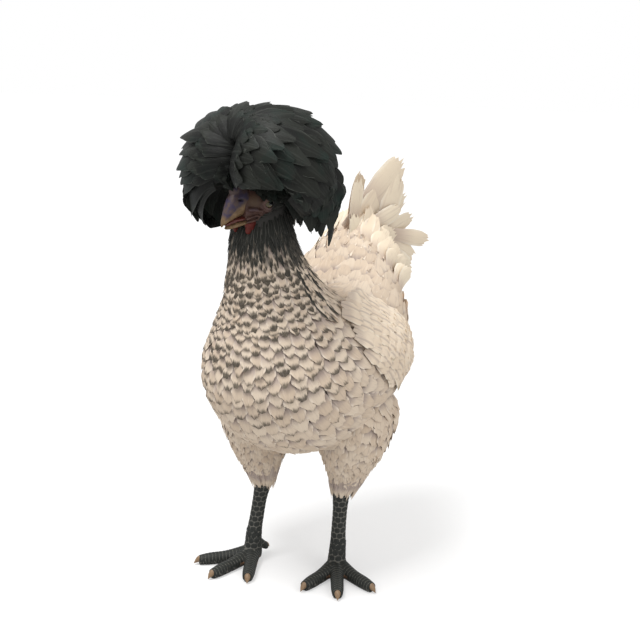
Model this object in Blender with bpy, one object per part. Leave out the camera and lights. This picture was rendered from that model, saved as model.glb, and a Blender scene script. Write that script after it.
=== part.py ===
"""A Polish crested hen, standing, life size: every named part of the bird as its own closed solid.

Metres, +Z up. The bird looks along -Y and its left side is +X. It is modelled about the
point on the floor between its feet, and the whole bird is moved at the end so that the
origin lies on the floor at the middle of its outline.
"""

import math
import random
from collections import namedtuple

import bmesh
import bpy
import numpy as np
from mathutils import Matrix, Vector
from mathutils.bvhtree import BVHTree

# Sizes that the whole bird is drawn from

GAP = 0.0003                    # clearance between parts that meet
LEFT, RIGHT = 1, -1
SIDE_NAME = {LEFT: "left", RIGHT: "right"}
ACROSS = Vector((1, 0, 0))
AHEAD = Vector((0, -1, 0))
UP = Vector((0, 0, 1))

# The trunk from the head to the tail, seen from the side: at each station a point on the
# back, a point on the breast or belly, and the half width there.
Station = namedtuple("Station", "back_y back_z belly_y belly_z wide")
TRUNK = [
    Station(-0.040, 0.378, -0.090, 0.357, 0.0225),
    Station(-0.033, 0.346, -0.098, 0.334, 0.026),
    Station(-0.020, 0.320, -0.099, 0.305, 0.031),
    Station(-0.001, 0.297, -0.099, 0.270, 0.042),
    Station(0.019, 0.281, -0.102, 0.232, 0.059),
    Station(0.036, 0.277, -0.100, 0.192, 0.074),
    Station(0.050, 0.279, -0.078, 0.155, 0.083),
    Station(0.062, 0.285, -0.034, 0.129, 0.087),
    Station(0.074, 0.295, 0.022, 0.122, 0.086),
    Station(0.086, 0.306, 0.070, 0.138, 0.080),
    Station(0.098, 0.315, 0.100, 0.168, 0.068),
    Station(0.109, 0.320, 0.118, 0.208, 0.054),
    Station(0.119, 0.314, 0.127, 0.250, 0.036),
]
TRUNK_SIDES = 26
TRUNK_PEAR = 0.42               # how much the tail end narrows towards its back
NECK_TOP, NECK_END, TORSO_END = 0.2, 2.5, 9.8     # in stations, where the parts meet

# The head's own frame: origin between the eyes, beak towards -Y
HEAD_AT = Vector((0.001, -0.076, 0.3685))
HEAD_TURN = math.radians(-15)   # towards the bird's right
HEAD_DIP = math.radians(6)
HEAD_PLACE = (Matrix.Translation(HEAD_AT) @ Matrix.Rotation(HEAD_TURN, 4, "Z")
              @ Matrix.Rotation(HEAD_DIP, 4, "X"))
Slice = namedtuple("Slice", "y top bottom wide")
HEAD_SLICES = [
    Slice(0.027, 0.009, -0.004, 0.0070),
    Slice(0.021, 0.018, -0.014, 0.0130),
    Slice(0.010, 0.022, -0.019, 0.0160),
    Slice(-0.001, 0.021, -0.0190, 0.0155),
    Slice(-0.010, 0.018, -0.0175, 0.0135),
    Slice(-0.0215, 0.0130, -0.0155, 0.0096),
]
UPPER_BEAK = [
    Slice(-0.0218, 0.0125, -0.0086, 0.0094),
    Slice(-0.0270, 0.0100, -0.0092, 0.0076),
    Slice(-0.0320, 0.0055, -0.0100, 0.0058),
    Slice(-0.0370, -0.0012, -0.0112, 0.0040),
    Slice(-0.0405, -0.0070, -0.0125, 0.0022),
]
UPPER_TIP = (0, -0.0425, -0.0138)
LOWER_BEAK = [
    Slice(-0.0218, -0.0108, -0.0160, 0.0080),
    Slice(-0.0285, -0.0116, -0.0166, 0.0060),
    Slice(-0.0345, -0.0128, -0.0168, 0.0038),
]
LOWER_TIP = (0, -0.0385, -0.0150)
KNOB_AT, KNOB_SIZE = (0, -0.0235, 0.0100), (0.0058, 0.0056, 0.0060)
NOSTRIL_AT, NOSTRIL_SIZE = (0.0068, -0.0275, 0.0025), (0.0022, 0.0030, 0.0014)
MOUTH_CORNER = (-0.0105, -0.0094, 0.0002)      # along, height, half the opening
MOUTH_FRONT = (-0.0300, -0.0098, 0.0014)
EYE_RADIUS = 0.0062
EYE_AT = (0.0115, 0.0, 0.0)
LID_AT, LID_SIZE = (0.0130, 0.0, 0.0), (0.0038, 0.0090, 0.0078)
EAR_AT, EAR_SIZE = (0.0158, 0.0155, -0.0060), (0.0030, 0.0052, 0.0064)
EAR_CUP_AT, EAR_CUP_SIZE = (0.0190, 0.0155, -0.0050), (0.0018, 0.0028, 0.0036)
WATTLE_AT, WATTLE_SIZE = (0.0068, -0.0155, -0.0215), (0.0026, 0.0056, 0.0078)
WATTLE_FOLD_AT, WATTLE_FOLD_SIZE = (0.0072, -0.0190, -0.0235), (0.0022, 0.0040, 0.0052)

# The crest's reach from its middle on each side, and how its feathers lie
CREST_AT = Vector((0, 0.005, 0.030))
CREST_FRONT, CREST_BACK = 0.054, 0.070
CREST_SIDE = {LEFT: 0.073, RIGHT: 0.090}
CREST_HIGH, CREST_LOW = 0.056, 0.070
CREST_SAG = 0.050               # how much lower it hangs on the right
CREST_LEAN = math.radians(56)   # the feathers part this far in front of the crown
CREST_CORE = 0.48               # the core's share of the reach
CREST_ROOT = 0.32               # where the feathers are rooted, inside the core
CREST_ARC = math.radians(46)    # how much of the crest one feather spans, at most
CREST_ROLL = 0.20               # the turn that lays each feather's edge over the next
CREST_ROOM = math.radians(34)   # a feather that must be raised by more than this is left out
FRINGE_ALONG = (-0.034, -0.002, 0.018)      # places along the head, and how low the
FRINGE_HEIGHT = (0.024, 0.008, -0.034)      # feathers hang there
FRINGE_LEAN = 0.026             # how much further forward the right side hangs low
CREST_TIERS = [                 # degrees from the parting to the tips, feathers, width
    (26, 4, 0.024), (46, 7, 0.027), (66, 10, 0.028), (86, 12, 0.029), (106, 14, 0.030),
    (126, 13, 0.030), (146, 9, 0.030), (164, 5, 0.028),
]
LOCK = [(0.028, 0.024, 0.020), (0.064, 0.036, -0.006), (0.045, 0.0375, -0.0435)]
LOCK_WIDTH = 0.011              # one long thin feather that hangs from the left of the crest

# The tail's tiers on each side: rise of the first and last feather in degrees, lengths at
# the top, middle and bottom of the fan, width, distance of the roots in front, feathers,
# and how far they spread sideways
TAIL_ROOT = Vector((0, 0.106, 0.290))
TAIL_ROLL = 0.20
TAIL_OPEN = 0.70                # how much the fan's vanes are turned to face ahead
TAIL_TIERS = [
    (74, 8, (0.108, 0.133, 0.094), 0.034, 0.0, 6, 0.24),
    (92, -8, (0.084, 0.074, 0.056), 0.032, -0.002, 5, 0.34),
    (94, 0, (0.058, 0.052, 0.042), 0.030, 0.010, 4, 0.42),
]

# The wing's arm in the side view: along, height, half its depth, half its thickness
WING_ARM = [(-0.056, 0.262, 0.010, 0.003), (-0.040, 0.260, 0.025, 0.006), (-0.010, 0.250, 0.033, 0.007),
            (0.030, 0.236, 0.028, 0.006), (0.056, 0.222, 0.012, 0.003)]
WING_UP = Vector((0, 0.42, 0.91))
# Its tiers: first and last root, their slopes in degrees, lengths, width, lift, feathers
WING_TIERS = [
    ((-0.004, 0.230), (0.044, 0.252), (46, 22), (0.090, 0.068), 0.024, 0.0035, 7),
    ((-0.034, 0.240), (0.014, 0.268), (48, 24), (0.064, 0.052), 0.025, 0.0060, 5),
    ((-0.044, 0.254), (-0.010, 0.276), (50, 26), (0.048, 0.044), 0.025, 0.0080, 4),
]
WING_ROOT, WING_TUCK = 0.002, 0.004
WING_OUT = 0.003                # how far the arm's middle lies outside the trunk
WING_ROLL = 0.20
WING_LIFT = 0.0015              # how much further out a feather's tip lies than its root
FLANK_LEAST = 0.045

# A leg in its own frame: the origin under the ankle and X outwards. Radii come last.
ANKLE = {LEFT: Vector((0.038, 0.006, 0)), RIGHT: Vector((-0.048, -0.006, 0))}
THIGH = [(-0.003, 0.018, 0.076, 0.0095), (0.000, 0.020, 0.090, 0.0175),
         (0.002, 0.022, 0.108, 0.0265), (0.003, 0.024, 0.127, 0.0345),
         (0.002, 0.024, 0.158, 0.0420), (-0.008, 0.022, 0.190, 0.0380)]
THIGH_OUT = {LEFT: 0.006, RIGHT: 0.003}      # the left thigh stands out a little more
SHANK = [(-0.003, 0.017, 0.082, 0.0074), (-0.003, 0.0155, 0.074, 0.0076), (-0.002, 0.011, 0.060, 0.0064),
         (-0.001, 0.006, 0.042, 0.0064), (0.0, 0.003, 0.030, 0.0070)]
FOOT = [(0.0, 0.0035, 0.0325, 0.0072), (0.0, 0.001, 0.020, 0.0078), (0.0, 0.0, 0.010, 0.0086),
        (0.0, 0.0, 0.0, 0.0070)]
FEET_OUT = {LEFT: math.radians(27), RIGHT: math.radians(14)}
SCUTE_RISE = 0.0006
Toe = namedtuple("Toe", "turn length scutes profile")
FRONT_PROFILE = [(0.0, 0.0100, 0.0080), (0.2, 0.0074, 0.0070), (0.5, 0.0054, 0.0058), (0.8, 0.0050, 0.0055),
                 (1.0, 0.0046, 0.0044)]        # share of the length, height, radius
HIND_PROFILE = [(0.0, 0.0210, 0.0056), (0.45, 0.0160, 0.0050), (0.8, 0.0105, 0.0043), (1.0, 0.0075, 0.0036)]
TOES = [Toe(math.radians(-38), 0.050, 6, FRONT_PROFILE), Toe(0.0, 0.056, 7, FRONT_PROFILE),
        Toe(math.radians(37), 0.053, 6, FRONT_PROFILE), Toe(math.radians(175), 0.020, 3, HIND_PROFILE)]
CLAW_LENGTH, CLAW_SUNK = 0.0090, 0.0015
CLAW = [(0.0, 0.0010, 0.0030), (0.4, 0.0006, 0.0026), (0.8, -0.0022, 0.0016)]    # share, rise, radius

MATERIALS = {
    "cream_feather": ((0.74, 0.63, 0.50), 0.75),
    "crest_feather": ((0.028, 0.031, 0.028), 0.70),
    "neck_feather": ((0.16, 0.15, 0.13), 0.75),
    "face_skin": ((0.20, 0.11, 0.10), 0.60),
    "beak_horn": ((0.36, 0.27, 0.20), 0.45),
    "wattle_skin": ((0.42, 0.03, 0.02), 0.55),
    "eye": ((0.45, 0.28, 0.05), 0.10),
    "leg_scale": ((0.05, 0.055, 0.05), 0.55),
    "claw_horn": ((0.45, 0.28, 0.16), 0.45),
}

for thing in list(bpy.data.objects):
    bpy.data.objects.remove(thing)
BIRD = bpy.data.collections.new("polish_hen")
bpy.context.scene.collection.children.link(BIRD)


# Tools for making closed meshes

def look(name):
    """The material of one kind of surface, made once."""
    found = bpy.data.materials.get(name)
    if found:
        return found
    colour, roughness = MATERIALS[name]
    made = bpy.data.materials.new(name)
    made.use_nodes = True
    shader = made.node_tree.nodes["Principled BSDF"]
    shader.inputs["Base Color"].default_value = (*colour, 1)
    shader.inputs["Roughness"].default_value = roughness
    shader.inputs["Metallic"].default_value = 0
    made.diffuse_color = (*colour, 1)
    return made


def object_from(bm, name, surface, place=None):
    """A named object in the bird's collection from a bmesh, with its faces pointing out."""
    bmesh.ops.recalc_face_normals(bm, faces=bm.faces)
    mesh = bpy.data.meshes.new(name)
    bm.to_mesh(mesh)
    bm.free()
    if place is not None:
        mesh.transform(place)
    mesh.materials.append(look(surface))
    obj = bpy.data.objects.new(name, mesh)
    BIRD.objects.link(obj)
    return obj


def spline(stations, at):
    """A smooth curve through the stations; at counts stations from the first."""
    last = len(stations) - 1
    at = min(max(at, 0.0), float(last))
    i = min(int(at), last - 1)
    f = at - i
    b, c = np.array(stations[i]), np.array(stations[i + 1])
    a = np.array(stations[i - 1]) if i else 2 * b - c
    d = np.array(stations[i + 2]) if i + 2 <= last else 2 * c - b
    return 0.5 * (2 * b + (c - a) * f + (2 * a - 5 * b + 4 * c - d) * f**2 + (3 * b - 3 * c + d - a) * f**3)


def loft(name, rings, surface, place=None):
    """A closed body through rings of equally many points. A ring of one point is a tip."""
    bm = bmesh.new()
    rows = [[bm.verts.new(p) for p in ring] for ring in rings]
    for here, there in zip(rows, rows[1:]):
        for i in range(max(len(here), len(there))):
            j = i + 1
            corners = [here[i % len(here)], here[j % len(here)], there[j % len(there)], there[i % len(there)]]
            bm.faces.new(list(dict.fromkeys(corners)))
    for end in (rows[0], rows[-1]):
        if len(end) > 2:
            bm.faces.new(end)
    bmesh.ops.recalc_face_normals(bm, faces=bm.faces)
    bmesh.ops.triangulate(bm, faces=bm.faces)
    return object_from(bm, name, surface, place)


def oval(centre, side, up, wide, high, count, pear=0.0):
    """A ring of points round a centre, the first straight up. pear narrows its upper half."""
    ring = []
    for k in range(count):
        turn = 2 * math.pi * k / count
        across = wide * math.sin(turn) * (1 - pear * max(math.cos(turn), 0.0))
        ring.append(centre + side * across + up * (high * math.cos(turn)))
    return ring


def grown_copy(obj):
    """A cutter: the object with its surface moved out by a little over the gap."""
    bm = bmesh.new()
    bm.from_mesh(obj.data)
    bm.normal_update()
    for vert in bm.verts:
        vert.co += vert.normal * (GAP * 1.15)
    mesh = bpy.data.meshes.new("cutter")
    bm.to_mesh(mesh)
    bm.free()
    cutter = bpy.data.objects.new("cutter", mesh)
    BIRD.objects.link(cutter)
    return cutter


def ball(name, centre, radii, surface, place=None, segments=16, rings=10):
    """An ellipsoid from a UV sphere."""
    bm = bmesh.new()
    shape = Matrix.Translation(centre) @ Matrix.Diagonal((*radii, 1))
    bmesh.ops.create_uvsphere(bm, u_segments=segments, v_segments=rings, radius=1, matrix=shape)
    bmesh.ops.triangulate(bm, faces=bm.faces)
    return object_from(bm, name, surface, place)


# A feather's outline: shares of its length, and of its width and thickness there
Outline = namedtuple("Outline", "along wide thick")
LEAF = Outline((0.0, 0.45, 0.85, 1.0), (0.42, 1.0, 0.80, 0.0), (1.0, 1.0, 0.7, 0.0))
PETAL = Outline((0.0, 0.50, 0.92, 1.0), (0.34, 1.0, 0.76, 0.0), (1.0, 1.0, 0.7, 0.0))


def vane(name, line, normal, width, surface, outline=LEAF, thick=0.0013, roll=0.0, camber=0.12):
    """A feather as one closed body. line gives its points by share of length, and normal its
    outer side there. Its section is a thin bent lens, split alike on both faces."""
    bm = bmesh.new()
    rows = []
    for t, wide, deep in zip(*[shares[:-1] for shares in outline]):
        along = (line(min(t + 0.05, 1.0)) - line(max(t - 0.05, 0.0))).normalized()
        out = normal(t)
        out = (out - along * out.dot(along)).normalized()
        out.rotate(Matrix.Rotation(roll, 3, along))
        side = along.cross(out)
        half = 0.5 * width * wide
        drop = out * (camber * half)
        core = out * (0.5 * thick * deep)
        here = line(t)
        corners = (here - side * half - drop, here + core, here + side * half - drop, here - core)
        rows.append([bm.verts.new(p) for p in corners])
    tip = bm.verts.new(line(1.0))
    for near, far in zip(rows, rows[1:]):
        for edge in (0, 2):
            for face in (1, 3):
                bm.faces.new((near[edge], near[face], far[face]))
                bm.faces.new((near[edge], far[face], far[edge]))
    for edge in (0, 2):
        for face in (1, 3):
            bm.faces.new((rows[-1][edge], rows[-1][face], tip))
        bm.faces.new((rows[0][edge], rows[0][1], rows[0][3]))
    return object_from(bm, name, surface)


def largest_surface(mesh):
    """Deletes every closed surface of the mesh but the one with the most faces. Surfaces that
    touch only at a point or along one edge count as separate."""
    bm = bmesh.new()
    bm.from_mesh(mesh)
    unseen, groups = set(bm.faces), []
    while unseen:
        group, front = set(), [unseen.pop()]
        while front:
            face = front.pop()
            group.add(face)
            for edge in face.edges:
                if len(edge.link_faces) == 2:
                    for other in edge.link_faces:
                        if other in unseen:
                            unseen.discard(other)
                            front.append(other)
        groups.append(group)
    keep = max(groups, key=len)
    bmesh.ops.delete(bm, geom=[face for g in groups if g is not keep for face in g], context="FACES")
    bm.to_mesh(mesh)
    bm.free()


def apply_boolean(obj, operation, others, solver="MANIFOLD"):
    """Joins or cuts obj with the other objects in one Boolean, then removes them."""
    tools = bpy.data.collections.new("tools")
    for other in others:
        BIRD.objects.unlink(other)
        tools.objects.link(other)
    bpy.context.scene.collection.children.link(tools)
    step = obj.modifiers.new("join", "BOOLEAN")
    step.operation, step.solver = operation, solver
    step.operand_type, step.collection = "COLLECTION", tools
    bpy.context.view_layer.update()
    graph = bpy.context.evaluated_depsgraph_get()
    made = bpy.data.meshes.new_from_object(obj.evaluated_get(graph))
    obj.modifiers.clear()
    obj.data = made
    for other in others:
        bpy.data.objects.remove(other)
    bpy.data.collections.remove(tools)
    largest_surface(made)
    return obj


def fuse(obj, pieces):
    return apply_boolean(obj, "UNION", pieces)


def carve(obj, cutters):
    """Cuts the cutters from obj, one after the other."""
    for cutter in cutters:
        apply_boolean(obj, "DIFFERENCE", [cutter])
    return obj


# Trunk: neck and torso

def trunk_ring(at, shift=0.0):
    """The trunk's section at a station, moved a little along the trunk."""
    s = Station(*spline(TRUNK, at))
    back, belly = Vector((0, s.back_y, s.back_z)), Vector((0, s.belly_y, s.belly_z))
    up = (back - belly).normalized()
    middle = (back + belly) / 2 + up.cross(ACROSS) * shift
    high = (back - belly).length / 2
    return oval(middle, ACROSS, up, s.wide, high, TRUNK_SIDES, TRUNK_PEAR * (at / (len(TRUNK) - 1))**2)


def trunk_part(name, start, end, steps, surface):
    """A length of the trunk between two stations, with flat ends."""
    rings = []
    for k in range(steps + 1):
        shift = GAP / 2 if k == 0 else -GAP / 2 if k == steps else 0.0
        rings.append(trunk_ring(start + (end - start) * k / steps, shift))
    return loft(name, rings, surface)


def make_neck(head):
    neck = trunk_part("neck", NECK_TOP, NECK_END, 5, "neck_feather")
    return carve(neck, [grown_copy(head)])


# Head. Its own frame has its origin between the eyes, with the beak towards -Y.

def sliced(name, slices, steps, surface, sides=14, tip=None):
    """A body through upright slices across the head's own frame."""
    rings = []
    for k in range(steps + 1):
        s = Slice(*spline(slices, k * (len(slices) - 1) / steps))
        middle = Vector((0, s.y, (s.top + s.bottom) / 2))
        rings.append(oval(middle, ACROSS, UP, s.wide, (s.top - s.bottom) / 2, sides))
    if tip:
        rings.append([Vector(tip)])
    return loft(name, rings, surface, HEAD_PLACE)


def mirrored(point, side):
    return Vector((point[0] * side, point[1], point[2]))


def head_ball(name, centre, radii, side, surface, segments=12, rings=7):
    return ball(name, mirrored(centre, side), radii, surface, HEAD_PLACE, segments, rings)


def mouth_wedge():
    """The open line of the mouth, from its corners to the beak."""
    rings = []
    for y, z, open_by in (MOUTH_CORNER, MOUTH_FRONT):
        corners = ((-0.02, -1), (0.02, -1), (0.02, 1), (-0.02, 1))
        rings.append([Vector((x, y, z + open_by * h)) for x, h in corners])
    return loft("mouth", rings, "face_skin", HEAD_PLACE)


def make_head():
    head = sliced("head", HEAD_SLICES, 9, "face_skin")
    fuse(head, [head_ball("lid", LID_AT, LID_SIZE, side, "face_skin") for side in (LEFT, RIGHT)])
    socket = [EYE_RADIUS + GAP] * 3
    carve(head, [head_ball("socket", EYE_AT, socket, side, "face_skin", 12, 8) for side in (LEFT, RIGHT)])
    return carve(head, [mouth_wedge()])


def make_eye(side):
    return head_ball("eye_" + SIDE_NAME[side], EYE_AT, [EYE_RADIUS] * 3, side, "eye", 12, 8)


def make_upper_beak(head):
    beak = sliced("upper_beak", UPPER_BEAK, 5, "beak_horn", 10, UPPER_TIP)
    fuse(beak, [ball("knob", KNOB_AT, KNOB_SIZE, "beak_horn", HEAD_PLACE, 10, 6)])
    nostrils = [head_ball("nostril", NOSTRIL_AT, NOSTRIL_SIZE, side, "beak_horn", 6, 4)
                for side in (LEFT, RIGHT)]
    return carve(beak, [grown_copy(head), *nostrils])


def make_lower_beak():
    return sliced("lower_beak", LOWER_BEAK, 3, "beak_horn", 8, LOWER_TIP)


def make_wattle(side, neighbours):
    wattle = head_ball("wattle_" + SIDE_NAME[side], WATTLE_AT, WATTLE_SIZE, side, "wattle_skin", 10, 6)
    fold = head_ball("fold", WATTLE_FOLD_AT, WATTLE_FOLD_SIZE, side, "wattle_skin", 8, 5)
    fuse(wattle, [fold])
    return carve(wattle, [grown_copy(o) for o in neighbours])


def make_ear(side, neighbours):
    ear = head_ball("ear_" + SIDE_NAME[side], EAR_AT, EAR_SIZE, side, "face_skin", 10, 6)
    cup = head_ball("cup", EAR_CUP_AT, EAR_CUP_SIZE, side, "face_skin", 8, 5)
    return carve(ear, [*[grown_copy(o) for o in neighbours], cup])


# Crest: feathers that spring from the front of the crown and arch out on every side

def crest_way(turn, fall):
    """A direction from the crest's middle: fall down from its pole, turned from the front."""
    flat = Vector((math.sin(turn) * math.sin(fall), -math.cos(turn) * math.sin(fall), math.cos(fall)))
    flat.rotate(Matrix.Rotation(CREST_LEAN, 3, "X"))
    return flat


def crest_reach(way):
    """How far the crest's feathers reach that way, an egg with its own size on each side."""
    deep = CREST_BACK if way.y > 0 else CREST_FRONT
    high = CREST_HIGH if way.z > 0 else CREST_LOW + CREST_SAG * max(-way.x, 0.0)
    side = CREST_SIDE[LEFT if way.x > 0 else RIGHT]
    return 1 / math.sqrt((way.x / side)**2 + (way.y / deep)**2 + (way.z / high)**2)


def crest_point(turn, fall, share):
    way = crest_way(turn, fall)
    return CREST_AT + way * (crest_reach(way) * share)


def fringe_height(point):
    """The lowest that crest feathers hang there: above the eyes in front, below the ears
    behind them."""
    lean = FRINGE_LEAN * min(max(-point.x / CREST_SIDE[RIGHT], 0.0), 1.0)
    return float(np.interp(point.y + lean, FRINGE_ALONG, FRINGE_HEIGHT))


def crest_feather(turn, fall, width, draw):
    """One crest feather whose tip lies at turn and fall, or higher up where it would hang
    over the face. None where there is no room for it."""
    wanted = fall
    while fall > 0 and crest_point(turn, fall, 1.0).z < fringe_height(crest_point(turn, fall, 1.0)):
        fall -= math.radians(3)
    if wanted - fall > CREST_ROOM:
        return None
    reach = draw.uniform(0.93, 1.02)
    roll = CREST_ROLL + draw.uniform(-0.04, 0.04)

    arc = min(CREST_ARC, 0.8 * fall)

    def line(t):
        share = CREST_ROOT + (reach - CREST_ROOT) * t**0.75
        return HEAD_PLACE @ crest_point(turn, fall - arc * (1 - t), share)

    def normal(t):
        return HEAD_PLACE.to_3x3() @ crest_way(turn, fall - arc * (1 - t))

    broad = crest_reach(crest_way(turn, fall)) / CREST_SIDE[LEFT]
    return vane("feather", line, normal, width * broad, "crest_feather", roll=roll)


def crest_lock():
    root, bend, tip = [HEAD_PLACE @ Vector(p) for p in LOCK]

    def line(t):
        return root * (1 - t)**2 + bend * (2 * t * (1 - t)) + tip * t**2

    return vane("feather", line, lambda t: HEAD_PLACE.to_3x3() @ ACROSS, LOCK_WIDTH, "crest_feather")


def make_crest(neighbours):
    draw = random.Random(4)
    rings = []
    for k in range(7):
        fall = math.pi * (k + 0.5) / 7
        ring = [crest_point(2 * math.pi * i / 14, fall, CREST_CORE) for i in range(14)]
        rings.append([HEAD_PLACE @ p for p in ring])
    crest = loft("crest", rings, "crest_feather")
    feathers = [crest_lock()]
    for tier, (fall, count, width) in enumerate(CREST_TIERS):
        for i in range(count):
            turn = 2 * math.pi * (i + 0.5 * (tier % 2) + 0.25) / count
            feather = crest_feather(turn, math.radians(fall + draw.uniform(-4, 4)), width, draw)
            if feather:
                feathers.append(feather)
    fuse(crest, feathers)
    return carve(crest, [grown_copy(o) for o in neighbours])


# Tail: a steep fan of wide vanes on each side, with round coverts over their roots

def tail_vane(side, share, rise, length, width, ahead, spread):
    """A tail feather. share runs from the top of the fan to its lowest feather."""
    root = TAIL_ROOT + Vector((side * (0.004 + 0.012 * share), -ahead, -0.014 * share))
    way = Vector((side * (0.06 + spread * share), math.cos(rise), math.sin(rise)))
    fan = Vector((side * TAIL_OPEN, math.sin(rise), -math.cos(rise)))
    face = way.cross(fan) * -side
    droop = Vector((0.0, 0.006, -0.010)) * (length / 0.1)

    def line(t):
        return root + way * (length * t) + droop * t**2

    return vane("feather", line, lambda t: face, width, "cream_feather", PETAL, roll=side * TAIL_ROLL)


def make_tail(torso):
    tail = trunk_part("tail", TORSO_END, len(TRUNK) - 1, 4, "cream_feather")
    feathers = []
    for side in (LEFT, RIGHT):
        for top, low, lengths, width, ahead, count, spread in TAIL_TIERS:
            for i in range(count):
                share = i / (count - 1)
                rise = math.radians(top + (low - top) * share)
                length = float(np.interp(share, (0, 0.5, 1), lengths))
                feathers.append(tail_vane(side, share, rise, length, width, ahead, spread))
    fuse(tail, feathers)
    return carve(tail, [grown_copy(torso)])


# Wings: a flat arm along the side with three tiers of vanes, folded down and back

def flank(trunk, side, y, z):
    """The trunk's surface beside a point of its side view, and its outward normal."""
    hit, normal, _, _ = trunk.ray_cast(Vector((side * 0.3, y, z)), Vector((-side, 0, 0)))
    if hit is None:
        return Vector((side * FLANK_LEAST, y, z)), Vector((side, 0, 0))
    return hit, normal


def wing_vane(trunk, side, root, slope, length, width, lift):
    """A wing feather from its root in the side view, lying back and down on the trunk. It
    rises out of the arm to its lift by the middle."""
    ends = []
    for share, out in ((0.0, WING_ROOT), (0.5, lift), (1.0, lift + WING_LIFT)):
        y = root[0] + math.cos(slope) * length * share
        z = root[1] - math.sin(slope) * length * share
        ends.append(flank(trunk, side, y, z)[0] + Vector((side * out, 0, 0)))
    straight = abs(ends[1].x) - (abs(ends[0].x) - abs(ends[1].x)) * 0.5
    ends[2].x = side * max(abs(ends[2].x), min(straight, abs(ends[1].x)) - WING_TUCK)

    def line(t):
        return ends[0] * (1 - t)**2 + (ends[1] * 2 - (ends[0] + ends[2]) / 2) * (2 * t * (1 - t)) + ends[2] * t**2

    return vane("feather", line, lambda t: Vector((side, 0, 0.25)), width, "cream_feather",
                roll=side * WING_ROLL)


def make_wing(side, trunk, neighbours):
    rings = []
    for k in range(8):
        y, z, high, thick = spline(WING_ARM, k * (len(WING_ARM) - 1) / 7)
        at, _ = flank(trunk, side, y, z)
        rings.append(oval(at + Vector((side * WING_OUT, 0, 0)), Vector((side, 0, 0)), WING_UP, thick, high, 14))
    wing = loft("wing_" + SIDE_NAME[side], rings, "cream_feather")
    feathers = []
    for first, last, slopes, lengths, width, lift, count in WING_TIERS:
        for i in range(count):
            share = i / (count - 1)
            root = [a + (b - a) * share for a, b in zip(first, last)]
            slope = math.radians(slopes[0] + (slopes[1] - slopes[0]) * share)
            length = lengths[0] + (lengths[1] - lengths[0]) * share
            feathers.append(wing_vane(trunk, side, root, slope, length, width, lift))
    fuse(wing, feathers)
    return carve(wing, [grown_copy(o) for o in neighbours])


# Legs

def limb(name, stations, steps, sides, surface, scutes=0.0, flat=False, tip=False):
    """A round limb through (x, y, z, radius) stations. scutes raises every other ring of
    points, set off by half a step round a shank, and flat keeps the underside on the floor."""
    rings = []
    last = len(stations) - 1
    for k in range(steps + 1):
        at = last * k / steps
        here, radius = Vector(spline(stations, at)[:3]), spline(stations, at)[3]
        along = Vector((spline(stations, at + 0.05) - spline(stations, at - 0.05))[:3]).normalized()
        side = along.cross(UP if abs(along.z) < 0.8 else -AHEAD).normalized()
        ring = oval(here, side, side.cross(along), radius, radius, sides)
        for i, point in enumerate(ring):
            row = 0 if flat else i // 2
            if 0 < k < steps and (k + row) % 2 and not (flat and point.z < here.z):
                point += (point - here).normalized() * scutes
            if flat:
                point.z = max(point.z, 0.0)
        rings.append(ring)
    if tip:
        rings.append([here + along * radius])
    return loft(name, rings, surface)


def on_leg(side, stations):
    """Stations of the leg's own frame, moved to the bird's stance."""
    ankle = ANKLE[side]
    return [(ankle.x + side * x, ankle.y + y, z, radius) for x, y, z, radius in stations]


def make_shank(side):
    return limb("shank_" + SIDE_NAME[side], on_leg(side, SHANK), 18, 10, "leg_scale", SCUTE_RISE)


def make_thigh(side, neighbours):
    low, high = THIGH[0][2], THIGH[-1][2]
    stations = [(x + THIGH_OUT[side] * (z - low) / (high - low), y, z, r) for x, y, z, r in THIGH]
    thigh = limb("thigh_" + SIDE_NAME[side], on_leg(side, stations), 8, 16, "cream_feather")
    return carve(thigh, [grown_copy(o) for o in neighbours])


def toe_way(side, toe):
    turn = FEET_OUT[side] + toe.turn
    return Vector((side * math.sin(turn), -math.cos(turn), 0))


def make_foot(side, shank):
    foot = limb("foot_" + SIDE_NAME[side], on_leg(side, FOOT), 4, 10, "leg_scale", flat=True)
    toes = []
    for toe in TOES:
        way = toe_way(side, toe) * toe.length
        line = [(*(ANKLE[side] + way * share + UP * height), radius) for share, height, radius in toe.profile]
        toes.append(limb("toe", line, 2 * toe.scutes, 8, "leg_scale", SCUTE_RISE, flat=True))
    fuse(foot, toes)
    return carve(foot, [grown_copy(shank)])


def make_claw(side, number, toe, foot):
    way = toe_way(side, toe)
    root = ANKLE[side] + way * (toe.length - CLAW_SUNK) + UP * toe.profile[-1][1]
    line = [(*(root + way * (CLAW_LENGTH * share) + UP * rise), radius) for share, rise, radius in CLAW]
    claw = limb(f"claw_{SIDE_NAME[side]}_{number}", line, 3, 6, "claw_horn", flat=True, tip=True)
    return carve(claw, [grown_copy(foot)])


# The whole bird

def make_bird():
    head = make_head()
    eyes = [make_eye(side) for side in (LEFT, RIGHT)]
    upper, lower = make_upper_beak(head), make_lower_beak()
    neck = make_neck(head)
    ears = [make_ear(side, (head, neck)) for side in (LEFT, RIGHT)]
    for side in (LEFT, RIGHT):
        make_wattle(side, (head, neck, lower))
    torso = trunk_part("torso", NECK_END, TORSO_END, 17, "cream_feather")
    make_crest((head, neck, upper, *ears, *eyes))
    make_tail(torso)
    corners = [vert.co for vert in torso.data.vertices]
    surface = BVHTree.FromPolygons(corners, [face.vertices for face in torso.data.polygons])
    thighs = []
    for side in (LEFT, RIGHT):
        shank = make_shank(side)
        thighs.append(make_thigh(side, (torso, shank, *thighs)))
        foot = make_foot(side, shank)
        for number, toe in enumerate(TOES, start=1):
            make_claw(side, number, toe, foot)
    rump = trunk_part("rump", NECK_END, len(TRUNK) - 1, 20, "cream_feather")
    for side, thigh in zip((LEFT, RIGHT), thighs):
        make_wing(side, surface, (rump, neck, thigh))
    bpy.data.objects.remove(rump)


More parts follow.
